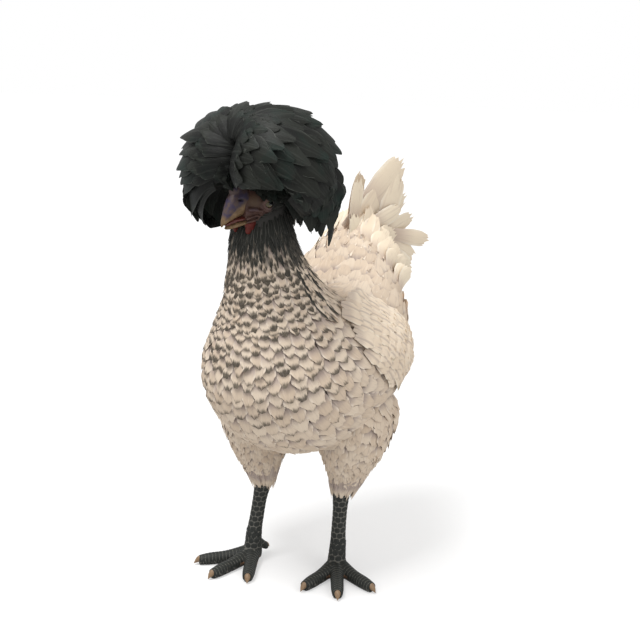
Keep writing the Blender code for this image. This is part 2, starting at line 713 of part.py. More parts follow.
def stand_at_origin():
    """Moves the bird so that the origin is on the floor at the middle of its outline."""
    corners = [obj.matrix_world @ vert.co for obj in BIRD.objects for vert in obj.data.vertices]
    low = [min(c[i] for c in corners) for i in range(3)]
    high = [max(c[i] for c in corners) for i in range(3)]
    shift = Vector((-(low[0] + high[0]) / 2, -(low[1] + high[1]) / 2, -low[2]))
    for obj in BIRD.objects:
        obj.data.transform(Matrix.Translation(shift))


make_bird()
stand_at_origin()
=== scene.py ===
# %% [markdown]
# A standing Polish hen, life size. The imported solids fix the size, the stance and the outline.
# This lesson dresses them: one smooth skin, then feathers as thin closed meshes in the order
# in which they grow on the bird, scales on the legs, and the bare parts of the head. The solids
# could be coloured as they are, but plumage only looks right where light falls between feathers.

# %% Load the frame
import math

import bmesh
import bpy
import numpy as np
from mathutils import Matrix, Vector
from mathutils.bvhtree import BVHTree


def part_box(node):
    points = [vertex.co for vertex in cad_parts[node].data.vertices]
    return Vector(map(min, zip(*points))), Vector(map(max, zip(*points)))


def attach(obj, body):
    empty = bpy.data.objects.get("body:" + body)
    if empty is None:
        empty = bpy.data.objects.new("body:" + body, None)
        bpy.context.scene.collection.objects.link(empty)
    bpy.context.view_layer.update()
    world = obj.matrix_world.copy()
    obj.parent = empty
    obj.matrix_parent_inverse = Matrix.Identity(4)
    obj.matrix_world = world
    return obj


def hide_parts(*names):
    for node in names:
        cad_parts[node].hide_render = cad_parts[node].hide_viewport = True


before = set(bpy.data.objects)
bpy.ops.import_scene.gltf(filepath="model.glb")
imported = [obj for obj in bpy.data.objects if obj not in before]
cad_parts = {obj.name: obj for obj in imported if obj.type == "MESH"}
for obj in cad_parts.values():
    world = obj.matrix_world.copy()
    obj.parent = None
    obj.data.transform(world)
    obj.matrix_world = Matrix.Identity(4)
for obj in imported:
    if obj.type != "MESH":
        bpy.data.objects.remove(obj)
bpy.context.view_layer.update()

LEFT, RIGHT = 1, -1
SIDE_NAME = {LEFT: "left", RIGHT: "right"}

# %% [markdown]
# The bird is drawn about the point on the floor between its feet, and the solids were then
# moved so that their box sits over the origin. One known point, the middle of the left eye,
# gives that move back. The head has its own frame, with the origin between the eyes and the
# beak towards -Y.

# %% The head's frame and the move to the solids
HEAD_AT = Vector((0.001, -0.076, 0.3685))
HEAD_TURN = math.radians(-15)
HEAD_DIP = math.radians(6)
HEAD_PLACE = (Matrix.Translation(HEAD_AT) @ Matrix.Rotation(HEAD_TURN, 4, "Z")
              @ Matrix.Rotation(HEAD_DIP, 4, "X"))
EYE_AT = Vector((0.0115, 0.0, 0.0))
EYE_RADIUS = 0.0062
eye_low, eye_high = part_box("eye_left")
SHIFT = (eye_low + eye_high) / 2 - HEAD_PLACE @ EYE_AT
print("shift", [round(v, 5) for v in SHIFT])

# %% [markdown]
# The camera stands ahead of the bird and to its left, a little above its head, with a long
# lens. Its place comes first, because every other choice is judged through it.

# %% Camera
CAMERA_AT = Vector((0.50327, -0.94652, 0.515))
CAMERA_HEADING, CAMERA_DIP = math.radians(26.9), math.radians(14)
FIELD_OF_VIEW = math.radians(30)
camera = bpy.data.objects.new("camera", bpy.data.cameras.new("camera"))
bpy.context.scene.collection.objects.link(camera)
camera.location = CAMERA_AT + SHIFT
camera.rotation_euler = (math.pi / 2 - CAMERA_DIP, 0, CAMERA_HEADING)
camera.data.sensor_width = 36
camera.data.lens = 18 / math.tan(FIELD_OF_VIEW / 2)
bpy.context.scene.camera = camera
print("camera lens", round(camera.data.lens, 2), "mm")

# %% [markdown]
# The bird stands on a white sweep, with a faint shadow behind its feet. A sweep could be a
# curved sheet, but a large flat floor that fades into the sky looks the same from every side.

# %% Floor
floor_mesh = bpy.data.meshes.new("floor")
FLOOR_HALF = 6.0
FLOOR_CORNERS = ((-1, -1), (1, -1), (1, 1), (-1, 1))
floor_mesh.from_pydata([(x * FLOOR_HALF, y * FLOOR_HALF, 0) for x, y in FLOOR_CORNERS], [], [(0, 1, 2, 3)])
floor = bpy.data.objects.new("floor", floor_mesh)
bpy.context.scene.collection.objects.link(floor)
print("floor", 2 * FLOOR_HALF, "m across")

# %% [markdown]
# Soft light has no hard shadow edges. It could come from one lamp behind a sheet, and here an
# even sky gives most of it and two wide lamps give the feathers some modelling. The camera
# sees a whiter sky than the one that lights the bird, so the backdrop is white and the cream
# plumage keeps its colour.

# %% Sky and lamps
world = bpy.data.worlds.new("studio")
world.use_nodes = True
SKY_SEEN, SKY_LIGHT = 1.0, 0.68
sky = world.node_tree.nodes["Background"]
sky_ray = world.node_tree.nodes.new("ShaderNodeLightPath")
sky_mix = world.node_tree.nodes.new("ShaderNodeMix")
sky_mix.data_type = "RGBA"
sky_mix.inputs[6].default_value = (SKY_LIGHT, SKY_LIGHT, SKY_LIGHT, 1)
sky_mix.inputs[7].default_value = (SKY_SEEN, SKY_SEEN, SKY_SEEN, 1)
world.node_tree.links.new(sky_ray.outputs["Is Camera Ray"], sky_mix.inputs["Factor"])
world.node_tree.links.new(sky_mix.outputs[2], sky.inputs["Color"])
bpy.context.scene.world = world
bpy.context.scene.view_settings.view_transform = "Standard"


def soft_lamp(name, place, aim, size, power):
    lamp = bpy.data.objects.new(name, bpy.data.lights.new(name, "AREA"))
    lamp.data.size, lamp.data.energy = size, power
    lamp.location = Vector(place)
    lamp.rotation_euler = (Vector(aim) - Vector(place)).to_track_quat("-Z", "Y").to_euler()
    bpy.context.scene.collection.objects.link(lamp)
    print("lamp", name, power, "W")


soft_lamp("key", place=(-0.30, -0.75, 2.3), aim=(0, 0, 0.2), size=0.9, power=38)
soft_lamp("side", place=(1.8, -0.7, 1.5), aim=(0, 0, 0.25), size=1.0, power=9)

# %% [markdown]
# Materials are made of nodes. These few helpers keep each recipe short: a node is made with
# its settings and its inputs in one call, and an input is a number, a colour or a socket.

# %% Node helpers
def put(tree, kind, inputs=None, **settings):
    """A node with its settings; inputs maps a socket's name or number to a value or socket."""
    made = tree.nodes.new(kind)
    for key, value in settings.items():
        setattr(made, key, value)
    for key, value in (inputs or {}).items():
        if isinstance(value, bpy.types.NodeSocket):
            tree.links.new(value, made.inputs[key])
        else:
            made.inputs[key].default_value = value
    return made


def maths(tree, operation, a, b=0.0, clamp=False):
    return put(tree, "ShaderNodeMath", {0: a, 1: b}, operation=operation, use_clamp=clamp).outputs[0]


def smooth(tree, value, start, end):
    """0 below start, 1 above end, smooth between; start may be above end."""
    ramp = put(tree, "ShaderNodeMapRange", {"Value": value, "From Min": start, "From Max": end},
               interpolation_type="SMOOTHSTEP")
    return ramp.outputs["Result"]


def blend(tree, share, first, second):
    mixer = put(tree, "ShaderNodeMix", {"Factor": share}, data_type="RGBA")
    for socket, value in ((mixer.inputs[6], first), (mixer.inputs[7], second)):
        if isinstance(value, bpy.types.NodeSocket):
            tree.links.new(value, socket)
        else:
            socket.default_value = (*value, 1)
    return mixer.outputs[2]


def stored(tree, name):
    """A value that each point of the mesh carries."""
    return put(tree, "ShaderNodeAttribute", attribute_name=name).outputs["Fac"]


def grain(tree, scale, detail=3.0, rough=0.6):
    place = put(tree, "ShaderNodeTexCoord").outputs["Object"]
    return put(tree, "ShaderNodeTexNoise", {"Vector": place, "Scale": scale, "Detail": detail,
                                            "Roughness": rough}).outputs["Fac"]


def surface(name):
    """A material's tree and its Principled shader."""
    made = bpy.data.materials.new(name)
    made.use_nodes = True
    return made, made.node_tree, made.node_tree.nodes["Principled BSDF"]


def finish_with(tree, shader, colour, height=None, strength=0.3, depth=0.0003):
    """Feeds a shader's colour and its bump."""
    tree.links.new(colour, shader.inputs["Base Color"])
    if height is not None:
        bump = put(tree, "ShaderNodeBump", {"Height": height, "Strength": strength, "Distance": depth})
        tree.links.new(bump.outputs["Normal"], shader.inputs["Normal"])


def gloss(shader, roughness, specular=0.5):
    """How dull a surface is, and how much it mirrors."""
    shader.inputs["Roughness"].default_value = roughness
    shader.inputs["Specular IOR Level"].default_value = specular


# %% [markdown]
# The floor is nearly white, and it has to fade into the sky with no line between them. A
# lighter paint would wash out the shadow too, so the floor keeps its grey and gives off a
# little light of its own, more of it further away, which only the camera sees.

# %% Floor finish
floor_material, tree, shader = surface("pale_floor")
finish_with(tree, shader, blend(tree, grain(tree, 3.0), (0.60, 0.60, 0.60), (0.63, 0.63, 0.63)))
seen = put(tree, "ShaderNodeLightPath").outputs["Is Camera Ray"]
place = put(tree, "ShaderNodeTexCoord").outputs["Object"]
away = put(tree, "ShaderNodeVectorMath", {0: place}, operation="LENGTH").outputs["Value"]
glow = blend(tree, smooth(tree, away, 0.5, 2.4), (0.41, 0.41, 0.41), (0.62, 0.62, 0.62))
tree.links.new(blend(tree, seen, (0, 0, 0), glow), shader.inputs["Emission Color"])
shader.inputs["Emission Strength"].default_value = 1.0
gloss(shader, 0.9, 0.1)
floor_mesh.materials.append(floor_material)
print("floor finish", len(tree.nodes), "nodes")

# %% [markdown]
# A feather's vane is made of fine barbs that slant from the shaft to the edge. Every feather
# mesh carries how far along and across it each point lies, so one node group can draw the
# barbs on all of them and nothing has to be painted.

# %% The barb group
barb_group = bpy.data.node_groups.new("feather barbs", "ShaderNodeTree")
BARB_INPUTS = {"Along": 0.5, "Across": 0.0, "Barbs": 26.0, "Slant": 0.35, "Ragged": 0.5}
for name, default in BARB_INPUTS.items():
    socket = barb_group.interface.new_socket(name, in_out="INPUT", socket_type="NodeSocketFloat")
    socket.default_value = default
for name in ("Height", "Streak"):
    barb_group.interface.new_socket(name, in_out="OUTPUT", socket_type="NodeSocketFloat")
tree = barb_group
given = put(tree, "NodeGroupInput").outputs
aside = maths(tree, "ABSOLUTE", given["Across"])
slanted = maths(tree, "SUBTRACT", given["Along"], maths(tree, "MULTIPLY", aside, given["Slant"]))
wobble = maths(tree, "MULTIPLY", maths(tree, "SUBTRACT", grain(tree, 900.0), 0.5), given["Ragged"])
waves = maths(tree, "ADD", maths(tree, "MULTIPLY", slanted, given["Barbs"]), wobble)
ridges = maths(tree, "SINE", maths(tree, "MULTIPLY", waves, 2 * math.pi))
shaft = maths(tree, "SUBTRACT", 1.0, smooth(tree, aside, 0.0, 0.10))
barbs = maths(tree, "ADD", maths(tree, "MULTIPLY", ridges, 0.35), maths(tree, "MULTIPLY", shaft, 0.9))
streak = maths(tree, "ADD", maths(tree, "MULTIPLY", ridges, 0.25), grain(tree, 420.0))
put(tree, "NodeGroupOutput", {"Height": barbs, "Streak": streak})
print("barb group", len(tree.nodes), "nodes")


def barbs_in(tree, count, slant=0.35, ragged=0.5):
    made = put(tree, "ShaderNodeGroup", node_tree=barb_group)
    tree.links.new(stored(tree, "along"), made.inputs["Along"])
    tree.links.new(stored(tree, "across"), made.inputs["Across"])
    made.inputs["Barbs"].default_value = count
    made.inputs["Slant"].default_value = slant
    made.inputs["Ragged"].default_value = ragged
    return made.outputs["Height"], made.outputs["Streak"]


def hair_in(tree, fine=6.0):
    """Streaks that run along each feather, from the values its points carry."""
    made = put(tree, "ShaderNodeCombineXYZ", {0: maths(tree, "MULTIPLY", stored(tree, "across"), fine),
                                              1: maths(tree, "MULTIPLY", stored(tree, "along"), 1.5),
                                              2: maths(tree, "MULTIPLY", stored(tree, "chance"), 37.0)})
    return put(tree, "ShaderNodeTexNoise", {"Vector": made.outputs[0], "Scale": 1.0, "Detail": 3.0,
                                            "Roughness": 0.6}).outputs["Fac"]


# %% [markdown]
# The body's feathers run from charcoal on the neck, through cream with dark tips on the
# breast, to plain cream on the flanks. Three stored values say which: tone is how much of
# the neck's charcoal a feather has, mark is where its dark tip starts, and chance tells one
# feather from the next.

# %% The body feather material
CREAM, CREAM_WARM = (0.74, 0.62, 0.49), (0.60, 0.47, 0.35)
CREAM_EDGE, MAUVE_SHADE_AND_VEIN = (0.79, 0.68, 0.56), (0.35, 0.28, 0.26)
SPANGLE, SPANGLE_STREAK = (0.040, 0.036, 0.029), (0.20, 0.165, 0.12)
CHARCOAL, PALE_EDGE = (0.022, 0.023, 0.020), (0.15, 0.145, 0.13)

FEATHER_BUMP, FEATHER_BUMP_DEPTH = 0.35, 0.00025
VEIN_SHARE = 0.32

body_feather, tree, shader = surface("body_feather")
along, across = stored(tree, "along"), maths(tree, "ABSOLUTE", stored(tree, "across"))
tone, mark, chance = stored(tree, "tone"), stored(tree, "mark"), stored(tree, "chance")
height, streak = barbs_in(tree, 15.0)
hair = hair_in(tree)
cream = blend(tree, maths(tree, "MULTIPLY", chance, 0.8), CREAM, CREAM_WARM)
cream = blend(tree, smooth(tree, across, 0.60, 1.0), cream, CREAM_EDGE)
# Painted shade: each feather turns mauve towards its root, where the next feather lies over it.
cream = blend(tree, maths(tree, "MULTIPLY", smooth(tree, along, 0.78, 0.45), 0.72), cream, MAUVE_SHADE_AND_VEIN)
cream = blend(tree, maths(tree, "MULTIPLY", smooth(tree, hair, 0.55, 0.72), 0.5), cream, CREAM_EDGE)
rag = maths(tree, "MULTIPLY", maths(tree, "SUBTRACT", hair, 0.5), 0.34)
edge = maths(tree, "MULTIPLY", maths(tree, "MULTIPLY", across, across), 0.15)
spread = maths(tree, "ADD", maths(tree, "SUBTRACT", along, edge), rag)
tip = smooth(tree, maths(tree, "SUBTRACT", spread, mark), 0.0, 0.15)
late_is_faint = put(tree, "ShaderNodeMapRange", {"Value": mark, "From Min": 0.70, "From Max": 0.95,
                                                 "To Min": 1.0, "To Max": 0.70}).outputs["Result"]
tip = maths(tree, "MULTIPLY", tip, late_is_faint)
spangle = blend(tree, smooth(tree, streak, 0.45, 0.95), SPANGLE, SPANGLE_STREAK)
spangled = blend(tree, maths(tree, "MULTIPLY", tip, 0.95), cream, spangle)
dark = blend(tree, maths(tree, "MULTIPLY", smooth(tree, across, 0.70, 1.0), 0.7), CHARCOAL, PALE_EDGE)
dark = blend(tree, maths(tree, "MULTIPLY", smooth(tree, hair, 0.52, 0.70), 0.36), dark, PALE_EDGE)
coloured = blend(tree, tone, spangled, dark)
on_pale = maths(tree, "SUBTRACT", VEIN_SHARE, maths(tree, "MULTIPLY", tone, VEIN_SHARE))
veins = maths(tree, "MULTIPLY", smooth(tree, hair, 0.48, 0.28), on_pale)
coloured = blend(tree, veins, coloured, MAUVE_SHADE_AND_VEIN)
finish_with(tree, shader, coloured, height, FEATHER_BUMP, FEATHER_BUMP_DEPTH)
gloss(shader, 0.78, 0.15)
print("body feather finish", len(tree.nodes), "nodes")

# %% [markdown]
# A closed thin body is better than a single sheet: it has an edge with a real thickness, and
# it can be written out as a solid. Each feather is a small grid, doubled with a second face
# that shares the rim. All feathers of a piece use the same grid, so arrays make them at once.

# %% Feather outlines
# Shares of the length, the half width there, and how round the tip is.
OUTLINES = {
    "round": ((0, .3, .6, .85, 1), (.40, .78, 1.0, .97, .76), 1.30),
    "hackle": ((0, .3, .6, .85, 1), (.40, .85, .90, .60, .22), 0.8),
    "leaf": ((0, .3, .55, .75, .9, 1), (.30, .72, .96, 1.0, .80, .46), 1.35),
    "petal": ((0, .35, .65, .9, 1), (.26, .70, 1.0, .97, .80), 0.9),
    "vane": ((0, .4, .7, .92, 1), (.50, .90, 1.0, .85, .58), 1.0),
}
EDGE_FALL = 0.94                # how nearly a rounded tip is a half circle


def vane_grid(nu, nt):
    """Rows of (along, across, face) for one feather, and its quads, with the rim shared."""
    points, top, under = [], {}, {}
    for i in range(nt + 1):
        for j in range(nu + 1):
            top[i, j] = len(points)
            points.append((i / nt, 2 * j / nu - 1, 1))
    for i in range(nt + 1):
        for j in range(nu + 1):
            if i in (0, nt) or j in (0, nu):
                under[i, j] = top[i, j]
            else:
                under[i, j] = len(points)
                points.append((i / nt, 2 * j / nu - 1, -1))
    quads = []
    for i in range(nt):
        for j in range(nu):
            quads.append([top[i, j], top[i, j + 1], top[i + 1, j + 1], top[i + 1, j]])
            quads.append([under[i, j], under[i + 1, j], under[i + 1, j + 1], under[i, j + 1]])
    return np.array(points), np.array(quads)


# %% [markdown]
# A mesh can be built face by face in edit mode, but here one piece has a hundred thousand
# faces. Blender takes whole arrays of points and corners at once, which is quick. The same
# helper stores the values that the materials read, and hangs the piece on the bird.

# %% Mesh from arrays
def carry(mesh, values):
    """Stores a value for each point of the mesh under each name."""
    for key, value in values.items():
        layer = mesh.attributes.new(key, "FLOAT", "POINT")
        layer.data.foreach_set("value", np.asarray(value, np.float32))


def piece_from(name, points, faces, material, values, patches=None, replaces=(),
               rim_angle=None):
    """A smooth mesh object that rides on the bird. points are in the stance's frame. Edges that
    bend by more than rim_angle stay sharp."""
    mesh = bpy.data.meshes.new(name)
    mesh.vertices.add(len(points))
    mesh.vertices.foreach_set("co", (np.asarray(points) + np.array(SHIFT)).astype(np.float32).ravel())
    corners = np.asarray(faces, np.int32)
    mesh.loops.add(corners.size)
    mesh.loops.foreach_set("vertex_index", corners.ravel())
    mesh.polygons.add(len(corners))
    mesh.polygons.foreach_set("loop_start", np.arange(0, corners.size, corners.shape[1], dtype=np.int32))
    mesh.update(calc_edges=True)
    carry(mesh, values)
    if patches is not None:
        layer = mesh.uv_layers.new(name="OFBake")
        layer.data.foreach_set("uv", np.asarray(patches, np.float32)[corners.ravel()].ravel())
    mesh.shade_smooth()
    if rim_angle:
        mesh.set_sharp_from_angle(angle=rim_angle)
    return put_on_bird(bpy.data.objects.new(name, mesh), material, replaces)


def put_on_bird(obj, material, replaces=()):
    if obj.name not in bpy.context.scene.collection.all_objects:
        bpy.context.scene.collection.objects.link(obj)
    obj.data.materials.clear()
    obj.data.materials.append(material)
    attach(obj, "root")
    if replaces:
        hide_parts(*replaces)
    triangles = sum(len(face.vertices) - 2 for face in obj.data.polygons)
    print(f"{obj.name}: {triangles} triangles")
    return obj


# %% [markdown]
# Each feather follows a curve through its root, middle and tip. Its width comes from an
# outline, its face turns from one direction at the root to another at the tip, and its edges
# fall back from the shaft. Modelling one feather and scattering copies of it would be the
# usual way, but copies are all alike, and these all bend to the body.

# %% Feathers from arrays
PATCH = 0.003                   # how large a feather's patch is on the bake map
Feather = dict                  # root, mid, tip, out, out_end, width, and the values it carries


def unit(v):
    return v / np.maximum(np.linalg.norm(v, axis=-1, keepdims=True), 1e-9)


def plumage(name, rows, outline, material, nu=6, nt=7, thick=0.0005, camber=0.10, ragged=0.0,
            replaces=(), seed=1):
    """One object of many feathers. Each row is a dict with its curve, its faces' direction,
    its width, the values it carries, and its place on the bake map."""
    draw = np.random.default_rng(seed)
    grid, quads = vane_grid(nu, nt)
    t, u, face = grid.T
    count = len(rows)

    def column(key, default=0.0):
        return np.array([row.get(key, default) for row in rows], float)

    root, mid, tip = column("root"), column("mid"), column("tip")
    bend = 2 * mid - (root + tip) / 2
    out = np.array([row["out"] for row in rows], float)
    out_end = np.array([row.get("out_end", row["out"]) for row in rows], float)
    stations, widths, roundness = OUTLINES[outline]
    wide = column("width")[:, None, None] / 2
    half = np.interp(t, stations, widths)[None, :, None] * wide
    T = t[None, :, None]
    middle = root[:, None] * (1 - T)**2 + bend[:, None] * (2 * T * (1 - T)) + tip[:, None] * T**2
    way = unit((bend - root)[:, None] * (1 - T) + (tip - bend)[:, None] * T)
    normal = out[:, None] * (1 - T) + out_end[:, None] * T
    normal = unit(normal - way * np.sum(normal * way, -1, keepdims=True))
    side = np.cross(way, normal)
    roll = column("roll")[:, None, None]
    normal, side = normal * np.cos(roll) + side * np.sin(roll), side * np.cos(roll) - normal * np.sin(roll)
    length = np.linalg.norm(tip - root, axis=1)[:, None, None]
    steps = draw.normal(0, 1, (count, nu + 1))[:, np.round((u + 1) * nu / 2).astype(int)][:, :, None]
    U = u[None, :, None]
    back = wide * roundness * (1 - np.sqrt(1 - EDGE_FALL * U**2)) * T**4 + length * ragged * steps * T**6
    body = (1 - U**2) * np.sin(math.pi * np.clip(T, 0.06, 1))**0.5 * face[None, :, None] * thick / 2
    body[:, np.isin(t, (0.0, 1.0))] = 0
    points = middle + side * half * U + normal * (body - camber * half * U**2) - way * back
    faces = (quads[None] + (np.arange(count) * len(grid))[:, None, None]).reshape(-1, 4)
    place = np.array([row["place"] for row in rows], float)
    patches = place[:, None] + PATCH * np.stack([u / 2, t], 1)[None]
    values = {"along": np.tile(t, count), "across": np.tile(u, count)}
    for key in ("tone", "mark", "chance"):
        values[key] = np.repeat(column(key, 1.5 if key == "mark" else 0.0), len(grid))
    return piece_from(name, points.reshape(-1, 3), faces, material, values, patches.reshape(-1, 2),
                      replaces, math.radians(70))


# %% [markdown]
# The trunk from the head to the tail is one bent tube. At each station there is a point on
# the back, one on the breast or belly, and the half width. A smooth curve through the
# stations gives the surface at any place, counted in stations along it and in turns round it.

# %% The trunk's surface
TRUNK = np.array([
    (-0.040, 0.378, -0.090, 0.357, 0.0225), (-0.033, 0.346, -0.098, 0.334, 0.026),
    (-0.020, 0.320, -0.099, 0.305, 0.031), (-0.001, 0.297, -0.099, 0.270, 0.042),
    (0.019, 0.281, -0.102, 0.232, 0.059), (0.036, 0.277, -0.100, 0.192, 0.074),
    (0.050, 0.279, -0.078, 0.155, 0.083), (0.062, 0.285, -0.034, 0.129, 0.087),
    (0.074, 0.295, 0.022, 0.122, 0.086), (0.086, 0.306, 0.070, 0.138, 0.080),
    (0.098, 0.315, 0.100, 0.168, 0.068), (0.109, 0.320, 0.118, 0.208, 0.054),
    (0.119, 0.314, 0.127, 0.250, 0.036)])       # back y z, belly y z, half width
TRUNK_LAST = len(TRUNK) - 1
TRUNK_PEAR = 0.42


def spline(stations, at):
    """A smooth curve through the stations, at many places at once."""
    at = np.clip(np.asarray(at, float), 0, len(stations) - 1)
    i = np.minimum(at.astype(int), len(stations) - 2)
    f = (at - i)[..., None]
    b, c = stations[i], stations[i + 1]
    a = np.where((i > 0)[..., None], stations[np.maximum(i - 1, 0)], 2 * b - c)
    last = (i + 2 < len(stations))[..., None]
    d = np.where(last, stations[np.minimum(i + 2, len(stations) - 1)], 2 * c - b)
    return 0.5 * (2 * b + (c - a) * f + (2 * a - 5 * b + 4 * c - d) * f**2 + (3 * b - 3 * c + d - a) * f**3)


def trunk_point(at, turn):
    """Points of the trunk. turn is 0 on the back, and grows towards the bird's left."""
    s = spline(TRUNK, at)
    back, belly = s[..., 0:2], s[..., 2:4]
    high = np.linalg.norm(back - belly, axis=-1) / 2
    up = (back - belly) / (2 * high[..., None])
    pear = TRUNK_PEAR * (np.asarray(at) / TRUNK_LAST)**2
    x = s[..., 4] * np.sin(turn) * (1 - pear * np.maximum(np.cos(turn), 0))
    yz = (back + belly) / 2 + up * (high * np.cos(turn))[..., None]
    return np.concatenate([x[..., None], yz], -1)


def outward(point, at, turn):
    """The outer side of a surface of at and turn."""
    step = 0.01
    along = point(np.asarray(at) + step, turn) - point(np.asarray(at) - step, turn)
    around = point(at, np.asarray(turn) + step) - point(at, np.asarray(turn) - step)
    return unit(np.cross(around, along))


print("trunk sides face out:", bool(outward(trunk_point, 6.0, math.pi / 2)[0] > 0))

# %% [markdown]
# Feathers grow in lines that run from the head to the tail. Along each line they stand a
# step apart, every other line half a step behind, as tiles on a roof do. The step follows
# the trunk's girth, so the feathers are small on the neck and large on the belly, as they
# are on the bird. Each feather starts under the surface and its tip lies on it.

# %% Laying feathers along a surface
def lay_coat(point, last, lines, girth_step, deep, draw, cover=lambda at: 2.3, start=0.0, loose=0.2):
    """Places for feathers on the surface point(at, turn): where they lie, the three points of
    the feather's curve, the surface's outer side there, and the distance between the lines.
    cover(at) is how many steps one feather covers."""
    laid = []
    fine = np.linspace(start, last, 500)
    rings = np.linspace(0, 2 * math.pi, 41)
    girth = np.linalg.norm(np.diff(point(fine[:, None], rings[None]), axis=1), axis=-1).sum(1) / lines
    for line in range(lines):
        turn = 2 * math.pi * (line + 0.5) / lines
        pace = np.linalg.norm(np.diff(point(fine, turn), axis=0), axis=1)
        steps = np.concatenate([[0], np.cumsum(pace / (girth_step * girth[1:]))])
        k = (line % 2) / 2
        while k + cover(float(np.interp(k, steps, fine))) < steps[-1]:
            at_step = max(k + draw.uniform(-loose, loose), 0)
            long = cover(float(np.interp(k, steps, fine))) * draw.uniform(0.92, 1.08)
            here = turn + draw.uniform(-loose, loose) * 2 * math.pi / lines
            places = [float(np.interp(at_step + long * share, steps, fine)) for share in (0, 0.5, 1.0)]
            outs = [outward(point, at, here) for at in places]
            depth = deep(places[0])
            curve = [point(at, here) - out * depth * sink
                     for at, out, sink in zip(places, outs, (0.85, 0.30, 0.0))]
            laid.append((places, here, curve, outs, float(np.interp(places[1], fine, girth))))
            k += 1
    return laid


# %% [markdown]
# The depth of the coat, how far one feather covers the next, and its markings all change
# along the trunk. They could be painted, but rules along the trunk and round it hold for any
# number of feathers: dark tips are strongest on the breast and fade towards the back.

# %% Where the plumage turns dark
BODY_LINES = 38
BODY_STEP = 0.92                # a step's length over the lines' distance
WIDTH_SHARE = 1.3               # a feather's width over the lines' distance


def coat_depth(at):
    """How deep the feathers are rooted: thin on the neck, thick on the body."""
    return float(np.interp(at, (0, 2, 5, 12), (0.0030, 0.0045, 0.0075, 0.0075)))


def body_cover(at):
    return float(np.interp(at, (0, 1.5, 3.0, 7.0, 11.0), (4.4, 3.6, 2.4, 2.5, 3.2)))


def smoothstep(value, start, end):
    share = min(max((value - start) / (end - start), 0.0), 1.0)
    return share * share * (3 - 2 * share)


def body_marks(at, turn, draw):
    """The tone and the start of the dark tip for a feather there."""
    front = 0.5 - 0.5 * math.cos(turn)          # 0 on the back, 1 on the breast
    wander = draw.normal(0, 0.20)
    tone = 1 - smoothstep(at + wander, 1.2 + 0.5 * (1 - front), 2.1 + 0.8 * (1 - front))
    start = np.interp(at + wander, (1.5, 2.4, 4.0, 5.5, 7.2), (0.62, 0.71, 0.78, 0.85, 1.08))
    fade = smoothstep(front, 0.60, 0.25) * 0.30
    return tone, float(start + fade + draw.normal(0, 0.045))


def around_share(turn):
    """A place across the bake map for a turn round the body."""
    return 0.05 + 0.9 * (turn % (2 * math.pi)) / (2 * math.pi)


def body_row(places, turn, curve, outs, wide, draw, lift=0.0008):
    tone, mark = body_marks(places[2], turn, draw)
    return Feather(root=curve[0], mid=curve[1], tip=curve[2] + outs[2] * draw.uniform(-0.0003, lift),
                   out=outs[0], out_end=outs[2], width=wide * WIDTH_SHARE * draw.uniform(0.86, 1.14),
                   roll=draw.normal(0, 0.10), tone=tone, mark=mark, chance=draw.uniform(),
                   place=(around_share(turn), 0.05 + 0.9 * places[0] / TRUNK_LAST))


# %% [markdown]
# One set of lines could run from head to tail, but its feathers would crowd on the neck and
# gape on the belly. So the throat, the neck and the body each have their own number of lines,
# and the stretches meet where their tips do.

# %% The body's coat
THROAT_LINES, THROAT_END = 52, 2.0
NECK_LINES, NECK_END = 31, 3.1
STRETCHES = [       # lines, last station, step, start, looseness, where the tips are kept
    (THROAT_LINES, 4.0, BODY_STEP * 1.4, 0.25, 0.35, (0.0, THROAT_END)),
    (NECK_LINES, 5.0, BODY_STEP * 0.85, 0.9, 0.2, (THROAT_END, NECK_END)),
    (BODY_LINES, TRUNK_LAST, BODY_STEP, 1.6, 0.2, (NECK_END, TRUNK_LAST + 1)),
]
draw = np.random.default_rng(5)
coat = []
for lines, last, step, start, loose, kept in STRETCHES:
    stretch = lay_coat(trunk_point, last, lines, step, coat_depth, draw, body_cover, start, loose)
    coat += [laid for laid in stretch if kept[0] <= laid[0][2] < kept[1]]

regions = {"neck": [], "breast": [], "back": [], "flanks": []}
for laid in coat:
    places, turn = laid[:2]
    row = body_row(*laid, draw)
    if places[2] < THROAT_END:
        regions["neck"].append(row)
    elif math.cos(turn) > 0.1:
        row["width"], row["roll"] = row["width"] * 1.2, row["roll"] * 0.5
        regions["back"].append(row)
    elif places[0] < 6.2:
        regions["breast"].append(row)
    else:
        regions["flanks"].append(row)
for region, rows in regions.items():
    print(region, len(rows), "feathers")
    outline, slot = ("hackle", "neck_feather") if region == "neck" else ("round", "body_feather")
    plumage(region + "_coat", rows, outline, body_feather, nu=6, nt=9, thick=0.0004, camber=0.10,
            ragged=0.035, seed=len(rows))

# %% [markdown]
# Down the back and the sides of the neck hang the hackles, long and narrow. Where the neck
# widens into the shoulders, dark ones lie among pale ones, and the eye sees streaks.

# %% Hackles
HACKLE_LINES, HACKLE_START, HACKLE_END = 70, 0.7, 4.3
draw = np.random.default_rng(6)
hackles = []
for laid in lay_coat(trunk_point, 5.2, HACKLE_LINES, 2.2, lambda at: 0.0020, draw, lambda at: 3.0,
                     start=HACKLE_START, loose=0.35):
    places, turn, curve, outs, wide = laid
    front = 0.5 - 0.5 * math.cos(turn)
    if places[2] > HACKLE_END + draw.normal(0, 0.25) or front > 0.55 + draw.normal(0, 0.04):
        continue
    row = body_row(places, turn, curve, outs, wide * 0.95, draw, 0.0015)
    row["tone"] = float(draw.uniform() < 1 - smoothstep(places[2] + draw.normal(0, 0.2), 2.0, 4.2)) * 0.94
    row["mark"] = draw.uniform(0.62, 1.1)
    hackles.append(row)
print("hackles", len(hackles))
plumage("hackles", hackles, "hackle", body_feather, nu=4, nt=8, thick=0.0004, camber=0.15, ragged=0.02,
        seed=7)

# %% [markdown]
# Under the tail the trunk ends in a small face, and soft fluff covers it.

